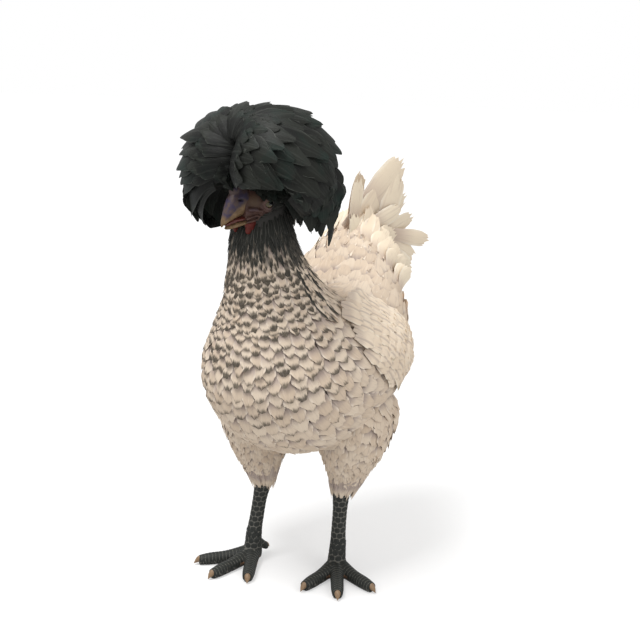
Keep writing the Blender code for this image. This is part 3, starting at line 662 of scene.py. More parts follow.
# %% Fluff under the tail
VENT_COLUMNS, VENT_ROWS = 9, 9
draw = np.random.default_rng(17)
vent = []
back_y, back_z, belly_y, belly_z, wide = TRUNK[-1]
for i in range(VENT_COLUMNS):
    for j in range(VENT_ROWS):
        down = (j + 0.5 * (i % 2)) / VENT_ROWS
        across = (2 * (i + 0.5) / VENT_COLUMNS - 1) * math.sqrt(max(1 - (2 * down - 1)**2, 0.04))
        x, z = across * wide * 0.85, back_z + (belly_z - back_z) * down
        y = back_y + (belly_y - back_y) * down + 0.004 * (1 - across**2)
        length = 0.021 * draw.uniform(0.85, 1.15)
        root = np.array((x * 0.9, y - 0.004, z + 0.006))
        tip = root + np.array((across * 0.005, 0.0095, -length))
        mid = (root + tip) / 2 + np.array((0, 0.0035, 0))
        vent.append(Feather(root=root, mid=mid, tip=tip, out=(0, 1, 0.3), width=0.0115,
                            roll=draw.normal(0, 0.15), mark=1.3, chance=draw.uniform(),
                            place=(0.5 + 0.2 * across, 0.97)))
plumage("vent_fluff", vent, "round", body_feather, nu=6, nt=8, thick=0.0004, ragged=0.05,
        seed=18)

# %% [markdown]
# The thighs carry the same feathers, smaller towards the hock. A thigh is a tapered tube from
# the flank down to the shank.

# %% The thigh's surface
ANKLE = {LEFT: np.array((0.038, 0.006, 0.0)), RIGHT: np.array((-0.048, -0.006, 0.0))}
THIGH = np.array([              # out, back, up, radius
    (-0.008, 0.022, 0.190, 0.0380), (0.002, 0.024, 0.158, 0.0420), (0.003, 0.024, 0.127, 0.0345),
    (0.002, 0.022, 0.108, 0.0265), (0.000, 0.020, 0.090, 0.0175), (-0.003, 0.018, 0.076, 0.0095)])
THIGH_OUT = {LEFT: 0.006, RIGHT: 0.003}
THIGH_LINES = 27
THIGH_LAST = len(THIGH) - 1


def thigh_point(side):
    def point(at, turn):
        s = spline(THIGH, at)
        out = THIGH_OUT[side] * (s[..., 2] - THIGH[-1][2]) / (THIGH[0][2] - THIGH[-1][2])
        x = ANKLE[side][0] + side * (s[..., 0] + out) + s[..., 3] * np.cos(turn)
        y = ANKLE[side][1] + s[..., 1] - s[..., 3] * np.sin(turn)
        return np.stack([x + 0 * y, y, s[..., 2] + 0 * y], -1)
    return point


def thigh_depth(at):
    return float(np.interp(at, (0, 2, THIGH_LAST), (0.006, 0.006, 0.0015)))


def surface_tree(point, last, count=60, sides=48):
    """A search tree of a surface of at and turn."""
    grid = point(*np.meshgrid(np.linspace(0, last, count), np.linspace(0, 2 * math.pi, sides + 1)[:-1],
                              indexing="ij"))
    steps = [(i, j, (j + 1) % sides) for i in range(count - 1) for j in range(sides)]
    quads = [(i * sides + j, i * sides + k, (i + 1) * sides + k, (i + 1) * sides + j) for i, j, k in steps]
    return BVHTree.FromPolygons([Vector(p) for p in grid.reshape(-1, 3)], quads)


trunk_tree = surface_tree(trunk_point, TRUNK_LAST)


def off_trunk(point):
    """How far a point lies from the trunk, with one sign inside and the other outside."""
    near, normal = trunk_tree.find_nearest(Vector(point))[:2]
    gap = Vector(point) - near
    return math.copysign(gap.length, gap.dot(normal))


UNDER_THE_BIRD = (0, 0, -1)
OUTSIDE = math.copysign(1, off_trunk(UNDER_THE_BIRD))
print("thigh top inside the trunk:", OUTSIDE * off_trunk(thigh_point(LEFT)(0, 0.0)) < 0)

# %% [markdown]
# Most of a thigh's top is hidden in the flank. Its feathers are laid over the whole tube, and
# those whose tips lie deep in the trunk are passed over. Below, loose wisps hang over the
# hock, as the last feathers of a real boot do, so that the shank comes out of a soft edge.

# %% The thighs' coat
THIGH_SUNK = 0.010              # how deep in the trunk a feather's tip may lie
BOOT_COUNT = 60                 # wisps that hang over the hock


def thigh_rows(side, draw):
    rows = []
    coat = lay_coat(thigh_point(side), THIGH_LAST, THIGH_LINES, 0.95, thigh_depth, draw,
                    lambda at: 2.8, loose=0.30)
    for places, turn, curve, outs, wide in coat:
        if OUTSIDE * off_trunk(curve[2]) < -THIGH_SUNK:
            continue
        tip = curve[2] + outs[2] * draw.uniform(0, 0.0012)
        rows.append(Feather(root=curve[0], mid=curve[1], tip=tip, out=outs[0], out_end=outs[2],
                            width=wide * 1.45 * draw.uniform(0.85, 1.15), roll=draw.normal(0, 0.16),
                            mark=1.20 + draw.normal(0, 0.10), chance=draw.uniform(),
                            place=(around_share(turn), 0.05 + 0.18 * places[0])))
    return rows


def boot_rows(side, draw):
    rows = []
    for turn in np.linspace(0, 2 * math.pi, BOOT_COUNT):
        start = THIGH_LAST - draw.uniform(0.9, 1.5)
        stops = (start, (start + THIGH_LAST) / 2, THIGH_LAST)
        root, mid, tip = (thigh_point(side)(at, turn) for at in stops)
        out = outward(thigh_point(side), THIGH_LAST - 0.4, turn)
        tip = tip + np.array((0, 0, draw.uniform(-0.008, 0.001))) + out * draw.uniform(-0.001, 0.001)
        rows.append(Feather(root=root - out * 0.001, mid=mid + out * 0.0008, tip=tip, out=out,
                            width=draw.uniform(0.0038, 0.0056), roll=draw.normal(0, 0.25), mark=1.3,
                            chance=draw.uniform(), place=(0.5, 0.95)))
    return rows


for side in (LEFT, RIGHT):
    draw = np.random.default_rng(11 + side)
    coat = thigh_rows(side, draw)
    wisps = boot_rows(side, draw)
    print("thigh", len(coat), "feathers and", len(wisps), "wisps")
    plumage("thigh_coat_" + SIDE_NAME[side], coat, "petal", body_feather, nu=6, nt=9, thick=0.0004,
            camber=0.12, ragged=0.06, seed=21)
    plumage("boot_wisps_" + SIDE_NAME[side], wisps, "hackle", body_feather, nu=4, nt=8, thick=0.0004,
            camber=0.15, ragged=0.05, seed=22)

# %% [markdown]
# Under the coat lies one skin. It is lofted from the same stations, drawn in by the depth of
# the coat, and the trunk and thighs are then remeshed into a single closed surface, so that
# no seam shows where feathers part.

# %% Lofts and remeshing
def loft(rings):
    """A bmesh through rings of equally many points, closed at both ends."""
    bm = bmesh.new()
    rows = [[bm.verts.new(p) for p in ring] for ring in rings]
    for here, there in zip(rows, rows[1:]):
        for i in range(len(here)):
            j = (i + 1) % len(here)
            bm.faces.new((here[i], here[j], there[j], there[i]))
    for end in (rows[0], rows[-1]):
        bm.faces.new(end)
    bmesh.ops.recalc_face_normals(bm, faces=bm.faces)
    return bm


def joined(parts, name):
    """One mesh object from several bmeshes, moved to the solids' frame."""
    mesh = bpy.data.meshes.new(name)
    whole = bmesh.new()
    for bm in parts:
        part = bpy.data.meshes.new("part")
        bm.to_mesh(part)
        bm.free()
        whole.from_mesh(part)
        bpy.data.meshes.remove(part)
    whole.to_mesh(mesh)
    whole.free()
    mesh.transform(Matrix.Translation(SHIFT))
    obj = bpy.data.objects.new(name, mesh)
    bpy.context.scene.collection.objects.link(obj)
    return obj


def remeshed(obj, voxel, smoothing=6):
    """The object's closed parts made one surface of small even quads."""
    step = obj.modifiers.new("remesh", "REMESH")
    step.mode, step.voxel_size = "VOXEL", voxel
    ease = obj.modifiers.new("ease", "SMOOTH")
    ease.factor, ease.iterations = 0.5, smoothing
    bpy.context.view_layer.update()
    made = bpy.data.meshes.new_from_object(obj.evaluated_get(bpy.context.evaluated_depsgraph_get()))
    obj.modifiers.clear()
    obj.data = made
    made.shade_smooth()
    return obj


def points_of(obj):
    """An object's points in the stance's frame, and its normals."""
    co = np.array([v.co for v in obj.data.vertices]) - np.array(SHIFT)
    return co, np.array([v.normal for v in obj.data.vertices])


def move_points(obj, co):
    obj.data.vertices.foreach_set("co", (co + np.array(SHIFT)).ravel())


def tube(point, last, rings, sides, inset, start=0.0):
    """A bmesh of a surface of at and turn, drawn in by inset(at)."""
    made = []
    for k in range(rings + 1):
        at = start + (last - start) * k / rings
        turns = np.linspace(0, 2 * math.pi, sides + 1)[:-1]
        here = point(np.full(sides, at), turns)
        out = outward(point, np.full(sides, min(max(at, 0.02), last - 0.02)), turns)
        made.append([Vector(p) for p in here - out * inset(at)])
    return loft(made)


# %% [markdown]
# Where feathers part, the eye falls on what is under them, so the skin takes the plumage's colours:
# charcoal up the neck, and below a cream darkened as painted shade. It is matt and a little rough,
# as down is.

# %% The body's skin
skin_material, tree, shader = surface("body_skin")
dark_skin = stored(tree, "tone")
pores = grain(tree, 900.0)
mottle = grain(tree, 60.0)
# Painted shade: the cream under the feathers is darker than the feathers' own.
down = blend(tree, mottle, (0.44, 0.34, 0.29), (0.55, 0.45, 0.38))
down = blend(tree, dark_skin, down, (0.045, 0.042, 0.038))
finish_with(tree, shader, down, pores, 0.4, 0.0004)
gloss(shader, 0.85)

skin_parts = [tube(trunk_point, TRUNK_LAST, 70, 48, lambda at: coat_depth(at) * 0.9)]
skin_parts += [tube(thigh_point(side), THIGH_LAST, 30, 28, lambda at: thigh_depth(at) * 0.9)
               for side in (LEFT, RIGHT)]
skin = remeshed(joined(skin_parts, "skin"), 0.0026)
heights = np.array([v.co.z for v in skin.data.vertices])
carry(skin.data, {"tone": np.clip((heights - 0.285) / 0.03, 0, 1)})
put_on_bird(skin, skin_material, ("torso", "thigh_left", "thigh_right", "neck"))

# %% [markdown]
# The crest is what names the breed. Broad, smooth, leaf-shaped feathers spring from a parting
# above the beak and arch over the head to every side, each tier over the next. They are laid
# on an egg that reaches differently far to each side, the same egg that the solids use.

# %% The crest's egg
CREST_AT = np.array((0, 0.005, 0.030))
CREST_FRONT, CREST_BACK = 0.054, 0.070
CREST_SIDE = {LEFT: 0.071, RIGHT: 0.081}
CREST_HIGH, CREST_LOW = 0.051, 0.070
CREST_SAG = 0.050
PARTING_LOW, PARTING_TOP = math.radians(-16), math.radians(44)
PARTING_DIP = math.radians(16)
PARTING_DEPTH, PARTING_BANK = 0.28, math.radians(26)
CREST_DROOP = ((0.0, 0.5, 1.5), (0.0, 0.22, 0.80))
FRINGE_ALONG, FRINGE_HEIGHT, FRINGE_LEAN = (-0.034, -0.002, 0.018), (0.022, 0.009, -0.034), 0.052
HEAD = np.array(HEAD_PLACE)


def in_head(point):
    """A point of the head's frame, in the stance's frame."""
    return HEAD[:3, :3] @ np.asarray(point, float) + HEAD[:3, 3]


def crest_way(flow, fall):
    """A direction from the crest's middle. flow says which line of feathers: 0 runs from the
    parting's top to the nape, 0.5 straight aside, and beyond it the line starts lower down on
    the parting. fall is the angle from the parting along that line."""
    side, size = math.copysign(1, flow), abs(flow)
    low = min(max(size - 0.5, 0.0), 1.0)
    rise = PARTING_TOP + (PARTING_LOW - PARTING_TOP) * low
    heading = min(size, 0.5) * math.pi + PARTING_DIP * low
    origin = np.array((0, -math.cos(rise), math.sin(rise)))
    upward = np.array((0, math.sin(rise), math.cos(rise)))
    ahead = np.array((side * math.sin(heading), 0, 0)) + upward * math.cos(heading)
    way = origin * math.cos(fall) + ahead * math.sin(fall)
    way[2] -= float(np.interp(size, *CREST_DROOP)) * smoothstep(fall, math.radians(30), math.radians(105))
    return way / np.linalg.norm(way)


def crest_reach(way):
    deep = CREST_BACK if way[1] > 0 else CREST_FRONT
    high = CREST_HIGH if way[2] > 0 else CREST_LOW + CREST_SAG * max(-way[0], 0.0)
    side = CREST_SIDE[LEFT if way[0] > 0 else RIGHT]
    return 1 / math.sqrt((way[0] / side)**2 + (way[1] / deep)**2 + (way[2] / high)**2)


def crest_point(flow, fall, share):
    way = crest_way(flow, fall)
    groove = PARTING_DEPTH * (1 - smoothstep(fall, 0, PARTING_BANK)) * min(0.3 + 1.4 * abs(flow), 1.0)
    return CREST_AT + way * (crest_reach(way) * share * (1 - groove))


def over_face(point):
    """Whether a point of the crest hangs over the face."""
    lean = FRINGE_LEAN * smoothstep(-point[0], 0.015, 0.055)
    return point[2] < float(np.interp(point[1] + lean, FRINGE_ALONG, FRINGE_HEIGHT))


# %% [markdown]
# Black feathers are not plainly black. These are charcoal with a painted green sheen in patches,
# a paler rib, a painted highlight along the edge, and painted deep shade towards the root, where
# each lies under the next.

# %% The crest's material
CREST_DARK, CREST_LIGHT = (0.008, 0.009, 0.007), (0.020, 0.022, 0.018)
CREST_GREEN_SHEEN, CREST_RIM_HIGHLIGHT = (0.010, 0.019, 0.015), (0.085, 0.090, 0.078)
CREST_SHADE, CREST_RIB = (0.005, 0.005, 0.005), (0.050, 0.053, 0.047)
CREST_STREAK = (0.048, 0.052, 0.045)

crest_feather, tree, shader = surface("crest_feather")
along, across = stored(tree, "along"), maths(tree, "ABSOLUTE", stored(tree, "across"))
height = barbs_in(tree, 34.0, 0.30, 0.3)[0]
rib = smooth(tree, across, 0.10, 0.0)
black = blend(tree, stored(tree, "chance"), CREST_DARK, CREST_LIGHT)
# Painted sheen: green patches in the charcoal.
black = blend(tree, smooth(tree, grain(tree, 45.0), 0.45, 0.7), black, CREST_GREEN_SHEEN)
# Painted highlight: a pale rim along each feather's edge.
black = blend(tree, maths(tree, "MULTIPLY", smooth(tree, across, 0.88, 1.0), 0.7), black, CREST_RIM_HIGHLIGHT)
black = blend(tree, maths(tree, "MULTIPLY", smooth(tree, along, 0.84, 0.60), 0.75), black, CREST_SHADE)
black = blend(tree, maths(tree, "MULTIPLY", rib, 0.18), black, CREST_RIB)
streaks = smooth(tree, hair_in(tree), 0.50, 0.72)
black = blend(tree, maths(tree, "MULTIPLY", streaks, 0.45), black, CREST_STREAK)
finish_with(tree, shader, black, height, FEATHER_BUMP, FEATHER_BUMP_DEPTH)
gloss(shader, 0.48, 0.16)
print("crest finish", len(tree.nodes), "nodes")

# %% [markdown]
# Each tier is a ring of tips at the same angle from the parting, and its feathers reach back
# up the egg. Every other tier is shifted by half a feather. Where a tip would hang over the
# face it is raised until it is clear, which cuts the fringe as a real crest parts.

# %% The crest's feathers
CREST_ARC = math.radians(64)    # how far a feather reaches round the egg
CREST_ROOT = 0.80               # how deep a feather's root lies, as a share of the reach
CREST_PITCH = 0.62              # from one feather of a tier to the next, in widths
CREST_ROOM = math.radians(46)   # how far a feather may be raised clear of the face
CREST_FALLS = range(32, 172, 12)    # where each tier's tips lie, in degrees from the parting


def crest_row(flow, fall, width, reach, draw):
    """A crest feather with its tip at flow and fall, raised where it would hang over the face."""
    wanted = fall
    while fall > 0.1:
        arc = min(CREST_ARC, 0.95 * fall)
        tip, before = (crest_point(flow, fall - arc * back, reach) for back in (0, 0.3))
        way = unit(tip - before)
        across = unit(np.cross(way, crest_way(flow, fall))) * width * 0.40
        shoulder = tip - way * width * 0.6
        if not any(over_face(p) for p in (tip, shoulder + across, shoulder - across)):
            break
        fall -= math.radians(2)
    if wanted - fall > CREST_ROOM:
        return None
    sway = draw.normal(0, 0.012)
    curve = [in_head(crest_point(flow + sway * t, fall - arc * (1 - t),
                                 CREST_ROOT + (reach - CREST_ROOT) * t**1.3)) for t in (0.0, 0.5, 1.0)]
    outs = [HEAD[:3, :3] @ crest_way(flow, fall - arc * (1 - t)) for t in (0.1, 1.0)]
    return Feather(root=curve[0], mid=curve[1], tip=curve[2], out=outs[0], out_end=outs[1], width=width,
                   roll=0.12 + draw.normal(0, 0.02 + 0.04 * min(fall, 1.0)), chance=draw.uniform(),
                   place=(0.5 + 0.3 * flow, 0.05 + 0.9 * fall / math.pi))


draw = np.random.default_rng(8)
crest_rows = []
for tier, fall in enumerate(CREST_FALLS):
    angle = math.radians(fall)
    flows = np.linspace(-1.5, 1.5, 121)
    ring = np.array([crest_point(flow, angle, 1.0) for flow in flows])
    run = np.concatenate([[0], np.cumsum(np.linalg.norm(np.diff(ring, axis=0), axis=1))])
    width = float(np.interp(fall, (10, 40, 90), (0.0145, 0.0205, 0.0250)))
    count = max(int(run[-1] / (CREST_PITCH * width)), 4)
    for i in range(count):
        flow = float(np.interp(run[-1] * (i + 0.25 + 0.5 * (tier % 2)) / count, run, flows))
        flow += draw.normal(0, 0.01)
        loose = min(fall / 60, 1.0)
        here = angle + math.radians(draw.uniform(-5, 5)) * loose
        wide = width * draw.uniform(0.88, 1.12)
        reach = 0.955 + loose * draw.uniform(-0.02, 0.045 + 0.05 * (fall > 50))
        row = crest_row(flow, here, wide, reach, draw)
        if row:
            crest_rows.append(row)
print("crest tiers", len(CREST_FALLS), "with", len(crest_rows), "feathers")

# %% [markdown]
# Round the sides and the nape the lowest feathers hang straight down like a curtain. They
# could be more tiers of the egg, but there they would curl in under it. So each curtain is a
# ring of hanging feathers, given by how far from the head's axis and how low its tips are.

# %% The crest's curtains
# At which angles round the head a feather hangs, and which way its face then looks.
CURTAIN_FACES = ((-180, -110, -60, 60, 100, 140, 180), (-180, -122, -104, 60, 74, 96, 150))
CURTAIN_TOP, CURTAIN_LONG = 0.016, 0.028
HEAD_AXIS = 0.005               # how far behind the eyes the head's upright axis stands


def hanging(angle, root, mid, tip, width, draw):
    """A feather that hangs round the head. angle is from the face towards the left; root, mid
    and tip are each a distance from the head's axis and a height."""
    around = math.radians(angle + draw.normal(0, 1.5))
    out = np.array((math.sin(around), -math.cos(around), 0))
    faced = math.radians(float(np.interp(angle, *CURTAIN_FACES)))
    face = np.array((math.sin(faced), -math.cos(faced), 0))
    curve = [in_head(np.array((0, HEAD_AXIS, high)) + out * away) for away, high in (root, mid, tip)]
    looking_up = face + np.array((0, 0, 0.8))
    return Feather(root=curve[0], mid=curve[1], tip=curve[2], out=HEAD[:3, :3] @ looking_up,
                   out_end=HEAD[:3, :3] @ face, width=width * draw.uniform(0.85, 1.15),
                   roll=draw.normal(0.1, 0.1), chance=draw.uniform(), place=(0.5 + angle / 600, 0.9))


# Each curtain: its angles, at those angles its tips' distance and height, its number of
# feathers and their width.
CURTAINS = [
    ((118, 135, 160, 180), (0.027, 0.031, 0.035, 0.035), (-0.004, -0.022, -0.030, -0.030), 11, 0.0185),
    ((104, 125, 150, 180), (0.044, 0.047, 0.050, 0.050), (-0.014, -0.029, -0.032, -0.030), 14, 0.0185),
    ((90, 115, 140, 180), (0.054, 0.060, 0.062, 0.060), (-0.008, -0.021, -0.027, -0.025), 15, 0.0185),
    ((72, 95, 120, 150, 180), (0.048, 0.058, 0.064, 0.066, 0.066),
     (0.006, 0.001, -0.006, -0.013, -0.014), 18, 0.0185),
    ((-180, -150, -110, -66), (0.036, 0.038, 0.044, 0.046), (-0.032, -0.034, -0.032, -0.020), 20, 0.0125),
    ((-180, -150, -110, -80, -60), (0.050, 0.052, 0.058, 0.060, 0.061),
     (-0.032, -0.034, -0.028, -0.022, -0.013), 30, 0.0105),
    ((-88, -60), (0.056, 0.0605), (-0.020, -0.010), 7, 0.0100),
    ((-180, -150, -110, -68), (0.056, 0.057, 0.057, 0.051), (-0.025, -0.024, -0.018, -0.010), 22, 0.0130),
    ((-180, -150, -110, -68), (0.060, 0.060, 0.060, 0.052), (-0.014, -0.013, -0.008, -0.003), 20, 0.0140),
]
for angles, tips_away, tips_high, count, width in CURTAINS:
    for angle in np.linspace(angles[0], angles[-1], count):
        away = float(np.interp(angle, angles, tips_away)) + draw.normal(0, 0.0012)
        high = float(np.interp(angle, angles, tips_high)) + draw.normal(0, 0.0035)
        top = max(CURTAIN_TOP, high + CURTAIN_LONG)
        crest_rows.append(hanging(angle, (away * 0.60, top), (away * 0.98, (high + top) / 2 + 0.004),
                                  (away, high), width, draw))
print("curtains", len(CURTAINS))

# %% [markdown]
# Over the eyes three short rows make the brow that shades them, and one long thin lock has
# come loose on the left. They join the rest of the crest in one mesh, so that the whole crest
# is one piece with one finish.

# %% Brow and lock
BROW_ANGLES, BROW_EDGE = (22, 50, 75, 122), (0.0160, 0.0054, 0.0010, -0.0030)
BROW_ROWS = (       # distance from the axis, rise over the edge, width, feathers
    (0.0225, 0.0, 0.0085, 10), (0.0300, 0.0035, 0.0115, 9), (0.0390, 0.0080, 0.0140, 8))
LOCK = ((0.050, 0.030, 0.004), (0.0535, 0.034, -0.018), (0.045, 0.0375, -0.0435))
for side in (LEFT, RIGHT):
    for away, rise, width, count in BROW_ROWS:
        for angle in np.linspace(BROW_ANGLES[0], BROW_ANGLES[-1], count):
            brow = float(np.interp(angle, BROW_ANGLES, BROW_EDGE)) + rise
            crest_rows.append(hanging(side * angle, (away * 0.35, brow + 0.013),
                                      (away * 0.75, brow + 0.0075),
                                      (away, brow + draw.normal(0, 0.0006)), width, draw))
root, mid, tip = (in_head(p) for p in LOCK)
crest_rows.append(Feather(root=root, mid=mid, tip=tip, out=HEAD[:3, 0], width=0.008, chance=0.2,
                          place=(0.5, 0.5)))
print("crest", len(crest_rows), "feathers")
plumage("crest_feathers", crest_rows, "leaf", crest_feather, nu=8, nt=12, thick=0.0009, camber=0.16,
        ragged=0.006, replaces=("crest",), seed=9)

# %% [markdown]
# Between the crest's feathers nothing may shine through, so a dark core fills the egg.

# %% The crest's core
CORE_SHARE, CORE_FLOOR = 0.52, 0.016
DOWN_DARK, DOWN_LIGHT = (0.008, 0.009, 0.008), (0.022, 0.024, 0.021)
core_rings = []
for k in range(24):
    fall = math.pi * (k + 0.5) / 24
    ways = [np.array((math.sin(turn) * math.sin(fall), math.cos(turn) * math.sin(fall), math.cos(fall)))
            for turn in np.linspace(0, 2 * math.pi, 41)[:-1]]
    ring = [CREST_AT + way * (crest_reach(way) * CORE_SHARE) for way in ways]
    core_rings.append([Vector(in_head((p[0], p[1], max(p[2], CORE_FLOOR)))) for p in ring])
core = remeshed(joined([loft(core_rings)], "crest_core"), 0.003, 4)
core_material, tree, shader = surface("crest_down")
fuzz = grain(tree, 400.0)
finish_with(tree, shader, blend(tree, fuzz, DOWN_DARK, DOWN_LIGHT), fuzz, 0.5, 0.0008)
gloss(shader, 0.9)
put_on_bird(core, core_material)

# %% [markdown]
# The tail's feathers are cream and a little warmer than the flanks, with shaded roots. A
# picture of a feather could be laid on each, but the stored values give every vane its own
# streaks at any size, and need no picture.

# %% The tail's material
TAIL_CREAM, TAIL_BUFF, TAIL_EDGE = (0.87, 0.76, 0.59), (0.81, 0.68, 0.52), (0.90, 0.81, 0.67)
TAIL_SHADE, TAIL_STREAK = (0.48, 0.36, 0.31), (0.50, 0.38, 0.31)

tail_feather, tree, shader = surface("tail_feather")
along, across = stored(tree, "along"), maths(tree, "ABSOLUTE", stored(tree, "across"))
height = barbs_in(tree, 40.0, 0.30, 0.6)[0]
pale = blend(tree, stored(tree, "chance"), TAIL_CREAM, TAIL_BUFF)
pale = blend(tree, smooth(tree, across, 0.7, 1.0), pale, TAIL_EDGE)
pale = blend(tree, maths(tree, "MULTIPLY", smooth(tree, along, 0.75, 0.35), 0.60), pale, TAIL_SHADE)
streaks = smooth(tree, hair_in(tree, 4.0), 0.46, 0.30)
pale = blend(tree, maths(tree, "MULTIPLY", streaks, 0.30), pale, TAIL_STREAK)
finish_with(tree, shader, pale, height, FEATHER_BUMP, FEATHER_BUMP_DEPTH)
gloss(shader, 0.75, 0.25)
print("tail finish", len(tree.nodes), "nodes")

# %% [markdown]
# The tail is a steep fan. Wide petal-shaped vanes rise from the rump on both sides, each half
# fan in a plane of its own, and four rings of shorter coverts lie over their roots. One fan in
# one plane would look like a hand from behind.

# %% The tail's feathers
TAIL_ROOT = np.array((0, 0.106, 0.290))
TAIL_SIDES = {      # each side's way back and way up, how much it is drawn out, and its size
    LEFT: ((0.38, 1, 0), (0.10, 0.08, 1), 1.118, 1.0),
    RIGHT: ((-0.14, 1, 0), (-0.04, 0.08, 1), 1.12, 0.84),
}
TAIL_FAN = [        # base back and up, tip back and up, width, lift, from each side's fan
    (0.010, 0.046, 0.0546, 0.0888, 0.0310, 0.0000), (0.036, 0.024, 0.0510, 0.0739, 0.0260, 0.0018),
    (-0.001, 0.039, 0.0000, 0.0756, 0.0170, 0.0020), (0.020, 0.020, 0.0660, 0.0520, 0.0270, -0.0010),
    (0.030, 0.012, 0.0773, 0.0299, 0.0230, 0.0004), (0.052, 0.016, 0.1010, 0.0030, 0.0170, 0.0030),
    (0.030, 0.000, 0.0700, -0.0080, 0.0230, -0.0005), (0.050, 0.008, 0.0853, -0.0127, 0.0170, 0.0022),
    (0.025, -0.010, 0.0620, -0.0270, 0.0220, 0.0000), (0.050, -0.002, 0.0824, -0.0251, 0.0180, 0.0030),
    (0.000, 0.020, 0.0300, 0.0640, 0.0260, 0.0010), (0.021, 0.031, 0.0543, 0.0422, 0.0180, 0.0050),
    (0.015, 0.020, 0.0142, 0.0487, 0.0165, 0.0060), (0.004, 0.010, -0.0030, 0.0422, 0.0170, 0.0050),
    (0.016, 0.012, 0.0509, 0.0189, 0.0190, 0.0064), (0.020, 0.000, 0.0520, -0.0040, 0.0190, 0.0058),
    (0.018, -0.012, 0.0480, -0.0220, 0.0190, 0.0050), (0.002, 0.000, 0.0120, 0.0300, 0.0170, 0.0085),
    (0.006, -0.006, 0.0330, 0.0080, 0.0180, 0.0090), (0.006, -0.014, 0.0320, -0.0120, 0.0180, 0.0085),
]
TAIL_HIDDEN = 0.026             # how far each feather's root lies behind its visible base
TAIL_COVERTS = ((9.9, 0.022, 17), (10.6, 0.024, 17), (11.2, 0.026, 16), (11.8, 0.027, 15))
draw = np.random.default_rng(14)
tail_rows = []
for side, (backward, upward, long, size) in TAIL_SIDES.items():
    backward, upward = unit(np.array(backward)), unit(np.array(upward))
    face = unit(np.cross(upward, backward)) * side
    face = face * math.copysign(1, face[0] * side)
    for base_back, base_up, tip_back, tip_up, width, lift in TAIL_FAN:
        start, end = np.array((base_back * long, base_up)), np.array((tip_back * long, tip_up))
        start = start - unit(end - start) * TAIL_HIDDEN
        if side == RIGHT and tip_back < 0.02:
            continue
        root, tip = (TAIL_ROOT + (backward * b + upward * u) * size for b, u in (start, end))
        root = root + face * (lift * 0.3 - 0.002)
        tip = tip + face * lift
        mid = (root + tip) / 2 + face * (0.0025 + lift * 0.5)
        tail_rows.append(Feather(root=root, mid=mid, tip=tip, out=face,
                                 width=width * size * draw.uniform(0.96, 1.05), roll=draw.normal(0, 0.10),
                                 chance=draw.uniform(),
                                 place=(0.2 + 5 * base_back, 0.5 + side * (0.1 + lift * 20))))
for at, reach, count in TAIL_COVERTS:
    for turn in np.linspace(-1.5, 1.5, count) + draw.normal(0, 0.04, count):
        long = reach * draw.uniform(0.65, 1.3)
        out = outward(trunk_point, at, turn)
        root, edge = trunk_point(at, turn) - out * 0.004, trunk_point(min(at + 0.9, TRUNK_LAST), turn)
        tip = edge + unit(np.array((0.05 * math.sin(turn), 0.75, 0.30 + 0.45 * math.cos(turn)))) * long
        tail_rows.append(Feather(root=root, mid=edge + out * 0.001, tip=tip, out=out,
                                 width=0.0195 * draw.uniform(0.85, 1.15), roll=draw.normal(0, 0.10),
                                 chance=draw.uniform(), place=(0.5 + 0.2 * turn, 0.9)))
print("tail", len(tail_rows), "feathers")
plumage("tail_feathers", tail_rows, "petal", tail_feather, nu=14, nt=14, thick=0.0008, camber=0.10,
        ragged=0.030, replaces=("tail",), seed=15)

# %% [markdown]
# A folded wing lies on the flank. Small round coverts clothe the arm, and below them the long
# flight feathers lie in tiers, darker and ochre towards their tips.

# %% Where the wing lies
WING_TIERS = [      # first and last root, slopes, lengths, width, lift, feathers
    ((-0.010, 0.236), (0.045, 0.262), (44, 48), (0.084, 0.060), 0.0190, 0.0030, 11),
    ((-0.014, 0.244), (0.036, 0.264), (44, 48), (0.070, 0.052), 0.0175, 0.0044, 10),
    ((-0.018, 0.250), (0.026, 0.266), (44, 48), (0.054, 0.044), 0.0165, 0.0056, 9),
]
FLANK_LEAST = 0.050
WING_MIDDLE, WING_LONG, WING_SHORT = np.array((0.020, 0.239)), 0.060, 0.040
WING_SLOPE = math.radians(-40)
WING_BULGE = 0.0075
FLANK_STEP = 0.004
FLANK_Y, FLANK_Z = np.arange(-0.12, 0.161, FLANK_STEP), np.arange(0.08, 0.361, FLANK_STEP)


def flank_width(side, trees, y, z):
    """How far the trunk and the thigh reach aside at a point of their side view."""
    hits = [tree.ray_cast(Vector((side * 0.3, y, z)), Vector((-side, 0, 0)))[0] for tree in trees]
    return max([abs(hit.x) for hit in hits if hit] + [FLANK_LEAST])


flank_fields = {}
for side in (LEFT, RIGHT):
    trees = (trunk_tree, surface_tree(thigh_point(side), THIGH_LAST))
    field = np.array([[flank_width(side, trees, y, z) for z in FLANK_Z] for y in FLANK_Y])
    for _ in range(6):
        padded = np.pad(field, 1, mode="edge")
        field = (padded[:-2, 1:-1] + padded[2:, 1:-1] + padded[1:-1, :-2] + padded[1:-1, 2:]
                 + 2 * padded[1:-1, 1:-1]) / 6
    flank_fields[side] = field
print("flank reaches", round(max(float(field.max()) for field in flank_fields.values()), 4), "m aside")

# %% [markdown]
# The folded wing lies on that flank and bulges a little over its own arm. A feather's place is
# given in the side view. How far aside it lies, and which way it faces, follow from there.

# %% Points on the folded wing
def in_arm(y, z):
    """0 at the middle of the wing's arm and 1 at its edge, in the side view."""
    d = np.array((y, z)) - WING_MIDDLE
    a = d[0] * math.cos(WING_SLOPE) + d[1] * math.sin(WING_SLOPE)
    b = -d[0] * math.sin(WING_SLOPE) + d[1] * math.cos(WING_SLOPE)
    return math.hypot(a / WING_LONG, b / WING_SHORT)


